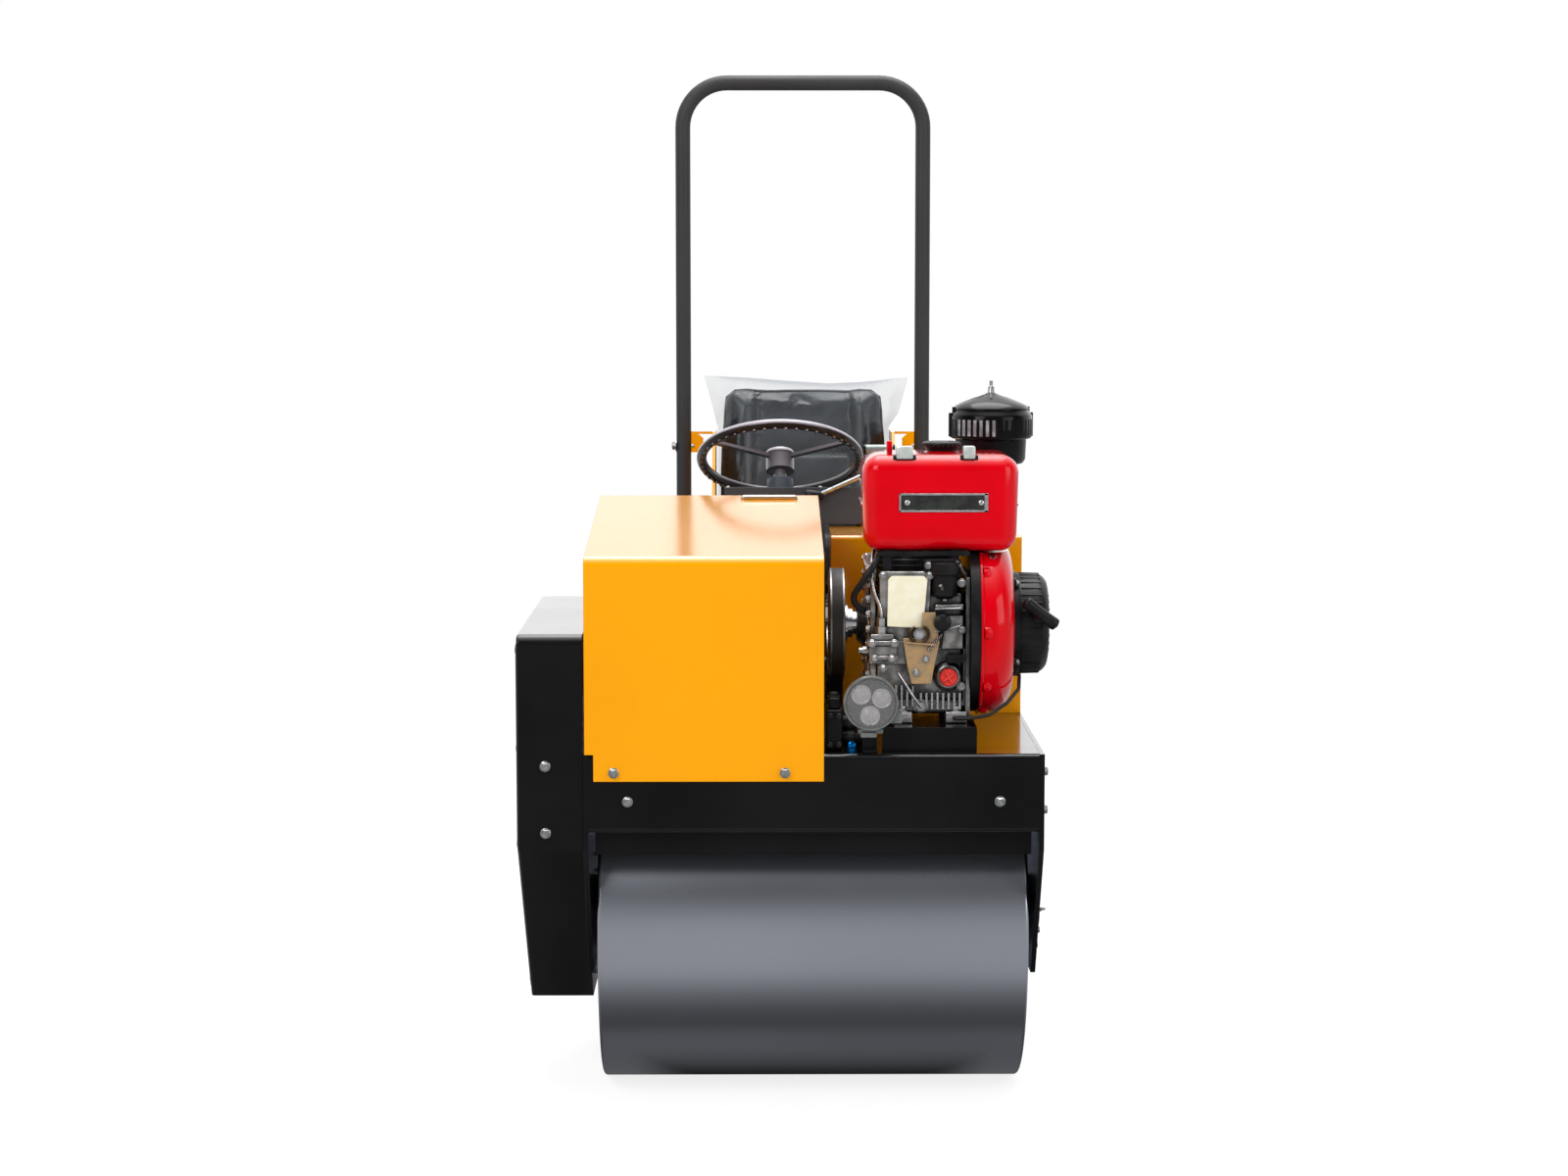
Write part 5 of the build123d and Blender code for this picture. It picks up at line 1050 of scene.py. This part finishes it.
water_low, water_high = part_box("water_tank")
water_black = finish("water_cap", "water_plastic", (0.012, 0.012, 0.013), (0.02, 0.02, 0.021), 0.4, 0.08, patch=0.04)
spout = Vector((water_low.x + 0.11, (water_low.y + water_high.y) / 2 + 0.02, water_high.z))
turned(spout, UP, ((0, 0.042), (0.004, 0.042), (0.005, 0.05), (0.024, 0.05), (0.028, 0.046), (0.0285, 0.02)), 48)
cap_ribs(spout, 28, 0.0495, 0.006, 0.0235, 0.0022)
soft_pad(spout, (-0.034, -0.007, 0.026), (0.034, 0.007, 0.034), 0.003)
piece("water_cap", water_black, body="rear_frame")
brass = finish("brass", "bright_steel", (0.62, 0.42, 0.14), (0.5, 0.33, 0.12), 0.3, 0.08, metal=1.0, patch=0.01,
               grime_and_shade=0.5)
turned((water_high.x - 0.06, water_high.y, water_low.z + 0.05), BACK,
       ((0, 0.012), (0.003, 0.012), (0.004, 0.008), (0.016, 0.008), (0.017, 0.011)), 24)
piece("water_tap", brass, body="rear_frame")

# Red reflectors screwed to the back plates; hatch and lock on the seat box.
reflector_red = finish("reflector_red", "engine_red", (0.5, 0.01, 0.01), (0.62, 0.02, 0.015), 0.15, 0.05, patch=0.004,
                       depth=0.0006)
rear_face, rear_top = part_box("rear_plate_left")[1].y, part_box("rear_crossmember")[1].z
reflector_x = 0.2
reflectors = [Vector((middle + hand * reflector_x, rear_face, rear_top)) for hand in (-1, 1)]
for reflector in reflectors:
    soft_pad(reflector, (-0.035, 0, -0.06), (0.035, 0.005, -0.022), 0.002)
piece("rear_reflectors", reflector_red, body="rear_frame")
for reflector in reflectors:
    for side in (-1, 1):
        hex_bolt(reflector + Vector((side * 0.0285, 0.0045, -0.041)), BACK, 0.006, 0.0045)
piece("reflector_screws", zinc, body="rear_frame")
box_low, box_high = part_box("seat_box")
soft_box((box_high.x - 0.0005, box_low.y + 0.07, box_low.z + 0.035),
         (box_high.x + 0.0022, box_high.y - 0.07, box_high.z - 0.035), 0.001)
for z in (box_low.z + 0.06, box_high.z - 0.06):
    hinge = Vector((box_high.x + 0.002, box_low.y + 0.072, z))
    rod(hinge + DOWN * 0.014, hinge + UP * 0.014, 0.0045, 12)
piece("seat_box_hatch", yellow_paint, body="rear_frame")
lock = Vector((box_high.x + 0.002, box_high.y - 0.1, (box_low.z + box_high.z) / 2))
turned(lock, LEFT, ((0, 0.012), (0.002, 0.012), (0.003, 0.009), (0.005, 0.009)), 28)
cast_box(lock + Vector((0.005, -0.003, -0.009)), lock + Vector((0.008, 0.003, 0.009)))
piece("hatch_lock", zinc, 0.0004, body="rear_frame")

# Grey clips and a bracket that show in the slot between the chain case and the drum.
soft_box(at(-367, -112, 352), at(-360.5, -84, 408), 0.002)
soft_box(at(-367, -70, 184), at(-360.5, -48, 210), 0.002)
for y, z in ((-98, 366), (-98, 394), (-59, 197)):
    hex_bolt(at(-360.5, y, z), LEFT, 0.009)
piece("chain_guide_clips", zinc)

# --- Seat ------------------------------------------------------------------------------------------------
# Foam cushions in black leather-grain vinyl: a flat squab and a backrest with raised side bolsters and three
# sewn channels, both welted round the edge.
vinyl = finish("seat_vinyl", "seat_vinyl", (0.009, 0.013, 0.017), (0.015, 0.022, 0.029), 0.3, 0.07, ior=1.5,
               patch=0.06, grain=0.0016, depth=0.0004)


def fit_outline(mesh, size, proud, corner=0.042, sectors=90):
    """Scales a pad's outline to a rounded rectangle and its thickness to size, keeping how it swells."""
    def sector(spot):
        return math.atan2(spot.y, spot.x) / (2 * math.pi) % 1 * sectors

    def edge_at(angle):
        low, high = 0.0, size.length
        for _ in range(24):
            reach = (low + high) / 2
            across = max(0.0, abs(reach * math.cos(angle)) - (size.x / 2 + proud - corner))
            along = max(0.0, abs(reach * math.sin(angle)) - (size.y / 2 - corner))
            low, high = (reach, high) if math.hypot(across, along) < corner else (low, reach)
        return low

    spots, widest = [vert.co for vert in mesh.vertices], [0.0] * sectors
    for spot in spots:
        k = int(sector(spot)) % sectors
        widest[k] = max(widest[k], math.hypot(spot.x, spot.y))
    shares = [edge_at(2 * math.pi * (k + 0.5) / sectors) / widest[k] for k in range(sectors)]
    shares = [(shares[k - 1] + shares[k] + shares[(k + 1) % sectors]) / 3 for k in range(sectors)]
    low_end, high_end = min(spot.z for spot in spots), max(spot.z for spot in spots)
    for spot in spots:
        place = sector(spot) - 0.5
        k, rest = math.floor(place), place - math.floor(place)
        share = shares[k % sectors] * (1 - rest) + shares[(k + 1) % sectors] * rest
        spot.x, spot.y = spot.x * share, spot.y * share
        spot.z = (spot.z - low_end) * size.z / (high_end - low_end)


def shaped(pad):
    """The mesh of a pad as its modifiers leave it, which are then taken off."""
    graph = bpy.context.evaluated_depsgraph_get()
    mesh = bpy.data.meshes.new_from_object(pad.evaluated_get(graph))
    pad.modifiers.clear()
    return mesh


def stuffed(name, size, place, mould, cap, proud=0.002):
    """A foam pad made in its own frame (x across, y along, z out of the face), inflated, then moulded. It
    fills size, and stands proud of it at the sides."""
    inset = cap * 0.45
    soft_box(Vector((-size.x / 2 + inset, -size.y / 2 + inset, inset * 0.5)),
             Vector((size.x / 2 - inset, size.y / 2 - inset, size.z - inset)), min(size.z * 0.32, 0.024), 5)
    mesh = bpy.data.meshes.new(name)
    bench.to_mesh(mesh)
    bench.clear()
    pad = bpy.data.objects.new(name, mesh)
    scene.collection.objects.link(pad)
    voxels = pad.modifiers.new("voxels", "REMESH")
    voxels.mode, voxels.voxel_size = "VOXEL", 0.006
    bpy.context.view_layer.update()
    pad.data = shaped(pad)
    start = [vert.co.copy() for vert in pad.data.vertices]
    cloth = pad.modifiers.new("cloth", "CLOTH").settings
    cloth.use_pressure, cloth.uniform_pressure_force = True, 4
    cloth.effector_weights.gravity, cloth.quality = 0, 4
    for step in range(1, 21):
        scene.frame_set(step)
    pad.data = shaped(pad)
    for vert, first in zip(pad.data.vertices, start):
        push = vert.co - first
        if push.length > cap:
            push = push.normalized() * cap
        vert.co = first + push
    scene.frame_set(1)
    fit_outline(pad.data, size, proud)
    bench.from_mesh(pad.data)
    bmesh.ops.subdivide_edges(bench, edges=bench.edges[:], cuts=1, use_grid_fill=True, smooth=0.6)
    for _ in range(3):
        bmesh.ops.smooth_vert(bench, verts=bench.verts[:], factor=0.5, use_axis_x=True, use_axis_y=True,
                              use_axis_z=True)
    for vert in bench.verts:
        vert.co.z = max(vert.co.z, 0.0)
        mould(vert.co, size)
    bench.to_mesh(pad.data)
    bench.clear()
    pad.data.transform(place)
    pad.data.shade_smooth()
    pad.data.materials.clear()
    pad.data.materials.append(vinyl)
    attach(pad, "rear_frame")
    return pad


def furrow(distance, width):
    """How deep a sewn line pulls the cover in, from 0 to 1, at a distance from it."""
    return math.exp(-(distance / width) ** 2)


def share_of(value, start, length):
    """How much of a length a value has passed since its start, from 0 to 1."""
    return max(0.0, min(1.0, (value - start) / length))


def mould_squab(spot, size):
    """Raises the squab's sides a little and sews a frame with three cross seams into its face."""
    face, side = share_of(spot.z, size.z * 0.45, size.z * 0.4), abs(spot.x) / (size.x / 2)
    spot.z += face * (0.008 * max(0.0, side - 0.55) / 0.45 - 0.004 * (1 - side * side))
    for line in (-0.07, 0.0, 0.07):
        if abs(spot.x) < 0.105:
            spot.z -= face * 0.006 * furrow(spot.y - line, 0.006)
    if abs(spot.y) < size.y * 0.42:
        spot.z -= face * 0.006 * furrow(abs(spot.x) - 0.105, 0.006)


def mould_back(spot, size):
    """Raises the backrest's side bolsters and sews three channels between them."""
    face, side = share_of(spot.z, size.z * 0.4, size.z * 0.4), abs(spot.x)
    if side < 0.085:
        spot.z -= face * 0.012
    else:
        spot.z += face * 0.012 * (share_of(side, 0.085, 0.03) - share_of(0.1 - side, 0, 0.015))
    if abs(spot.y) < size.y * 0.44:
        spot.z -= face * 0.008 * furrow(side - 0.093, 0.006)
    if side < 0.09:
        for line in (-0.09, -0.01, 0.07):
            spot.z -= face * 0.007 * furrow(spot.y - line, 0.007)
        spot.z += face * 0.005 * math.sin((spot.y + 0.09) / 0.08 * math.pi) ** 2


squab_low, squab_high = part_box("seat_cushion")
squab_size = squab_high - squab_low
squab_place = Matrix.Translation((*centre_of("seat_cushion").xy, squab_low.z))
squab = stuffed("seat_squab", squab_size, squab_place, mould_squab, 0.012)
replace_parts(squab, "seat_cushion")
back_low, back_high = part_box("seat_back")
lean, back_thick = math.radians(8), 0.07
back_tall = (back_high.z - back_low.z - back_thick * math.sin(lean)) / math.cos(lean)
back_size = Vector((back_high.x - back_low.x, back_tall, back_thick))
back_up, back_out = Vector((0, math.sin(lean), math.cos(lean))), Vector((0, -math.cos(lean), math.sin(lean)))
back_middle = (back_low + back_high) / 2 - back_out * back_thick / 2
back_place = Matrix.Translation(back_middle) @ Matrix((LEFT, back_up, back_out)).transposed().to_4x4()
backrest = stuffed("seat_backrest", back_size, back_place, mould_back, 0.014, 0.005)
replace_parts(backrest, "seat_back")

# Each pad is sewn up with a welt, a round cord of vinyl, that goes round it above the middle of its thickness.
for name, pad, size, place in (("squab_welt", squab, squab_size, squab_place),
                               ("backrest_welt", backrest, back_size, back_place)):
    home, cord = place.inverted(), []
    cover = BVHTree.FromPolygons([home @ vert.co for vert in pad.data.vertices],
                                 [face.vertices[:] for face in pad.data.polygons])
    for way in ring(72, "xy"):
        spot, normal = cover.ray_cast(way * 0.4 + UP * size.z * 0.62, -way)[:2]
        cord.append(place @ (spot + Vector((normal.x, normal.y, 0)) * 0.0008))
    bent_bar(name, cord, 0.003, vinyl, 3, False, "rear_frame")

# --- Bag -------------------------------------------------------------------------------------------------
# The clear film bag that the seat was delivered in is still over the backrest: a flat tube welded across its
# top, wider than the pad, so its sides stand out as creased flaps.
film = bpy.data.materials.new("clear_film")
film.use_nodes = True
tree = film.node_tree
facing = node(tree, "LayerWeight", {"Blend": 0.45}).outputs["Facing"]
plug(tree, tree.nodes["Principled BSDF"], {"Base Color": (0.37, 0.4, 0.44, 1), "Roughness": 0.38,
                                           "Specular IOR Level": 0.2,
                                           "Alpha": scaled(tree, facing, 0.1, 0.95, 0.12, 0.6)})
bag_half, bag_length, bag_front, bag_behind, between_guards = 0.204, 0.33, 0.05, 0.044, 0.1705
seam_line = ((-0.204, 1.160), (-0.12, 1.156), (-0.03, 1.149), (0.05, 1.144), (0.12, 1.147), (0.204, 1.156))
rows, columns, loops = 44, 72, []
for row in range(rows + 1):
    down = bag_length * (row / rows) ** 1.3
    wide = bag_half - 0.023 * min(1.0, down / 0.085)
    room = between_guards + max(0.0, 0.1 - down) * 0.7
    sides = (-min(wide - 0.006, room), min(wide + 0.006, room))
    deep = math.sqrt(max(0.0, 1 - (1 - min(1.0, down / 0.045)) ** 2))
    loop = []
    for column in range(2 * columns):
        front = column <= columns
        across = -1 + 2 * column / columns if front else 3 - 2 * column / columns
        x = abs(across) * sides[across > 0]
        for (x0, z0), (x1, z1) in zip(seam_line, seam_line[1:]):
            if x0 <= across * bag_half <= x1 + 1e-6:
                top = z0 + (z1 - z0) * (across * bag_half - x0) / (x1 - x0)
        edge = (1 - abs(across)) * wide / (wide - 0.126)
        full = edge / (1 + edge ** 6) ** (1 / 6)
        spot = Vector((x * 9 + down * 5, down * 6 - x * 4, 3.0 if front else 7.0))
        fold = (1 - abs(noise.noise(spot))) ** 6 * 0.006 + (1 - abs(noise.noise(spot * 2.3))) ** 8 * 0.003
        fold *= min(1.0, down / 0.03) * min(1.0, (1 - abs(across)) * 8)
        sway = 0.006 * math.sin(down * 26 + across * 2) * abs(across) ** 3
        out = (bag_front * full * deep + fold if front else -bag_behind * full * deep - fold) + sway
        up = back_tall / 2 + (top - back_high.z + 0.004) / math.cos(lean) - down
        loop.append(bench.verts.new(back_place @ Vector((x, up, back_thick / 2 + out))))
    loops.append(loop)
for above, below in zip(loops, loops[1:]):
    skin(above, below)
bag = piece("backrest_bag", film, body="rear_frame")
bag.data.shade_smooth()
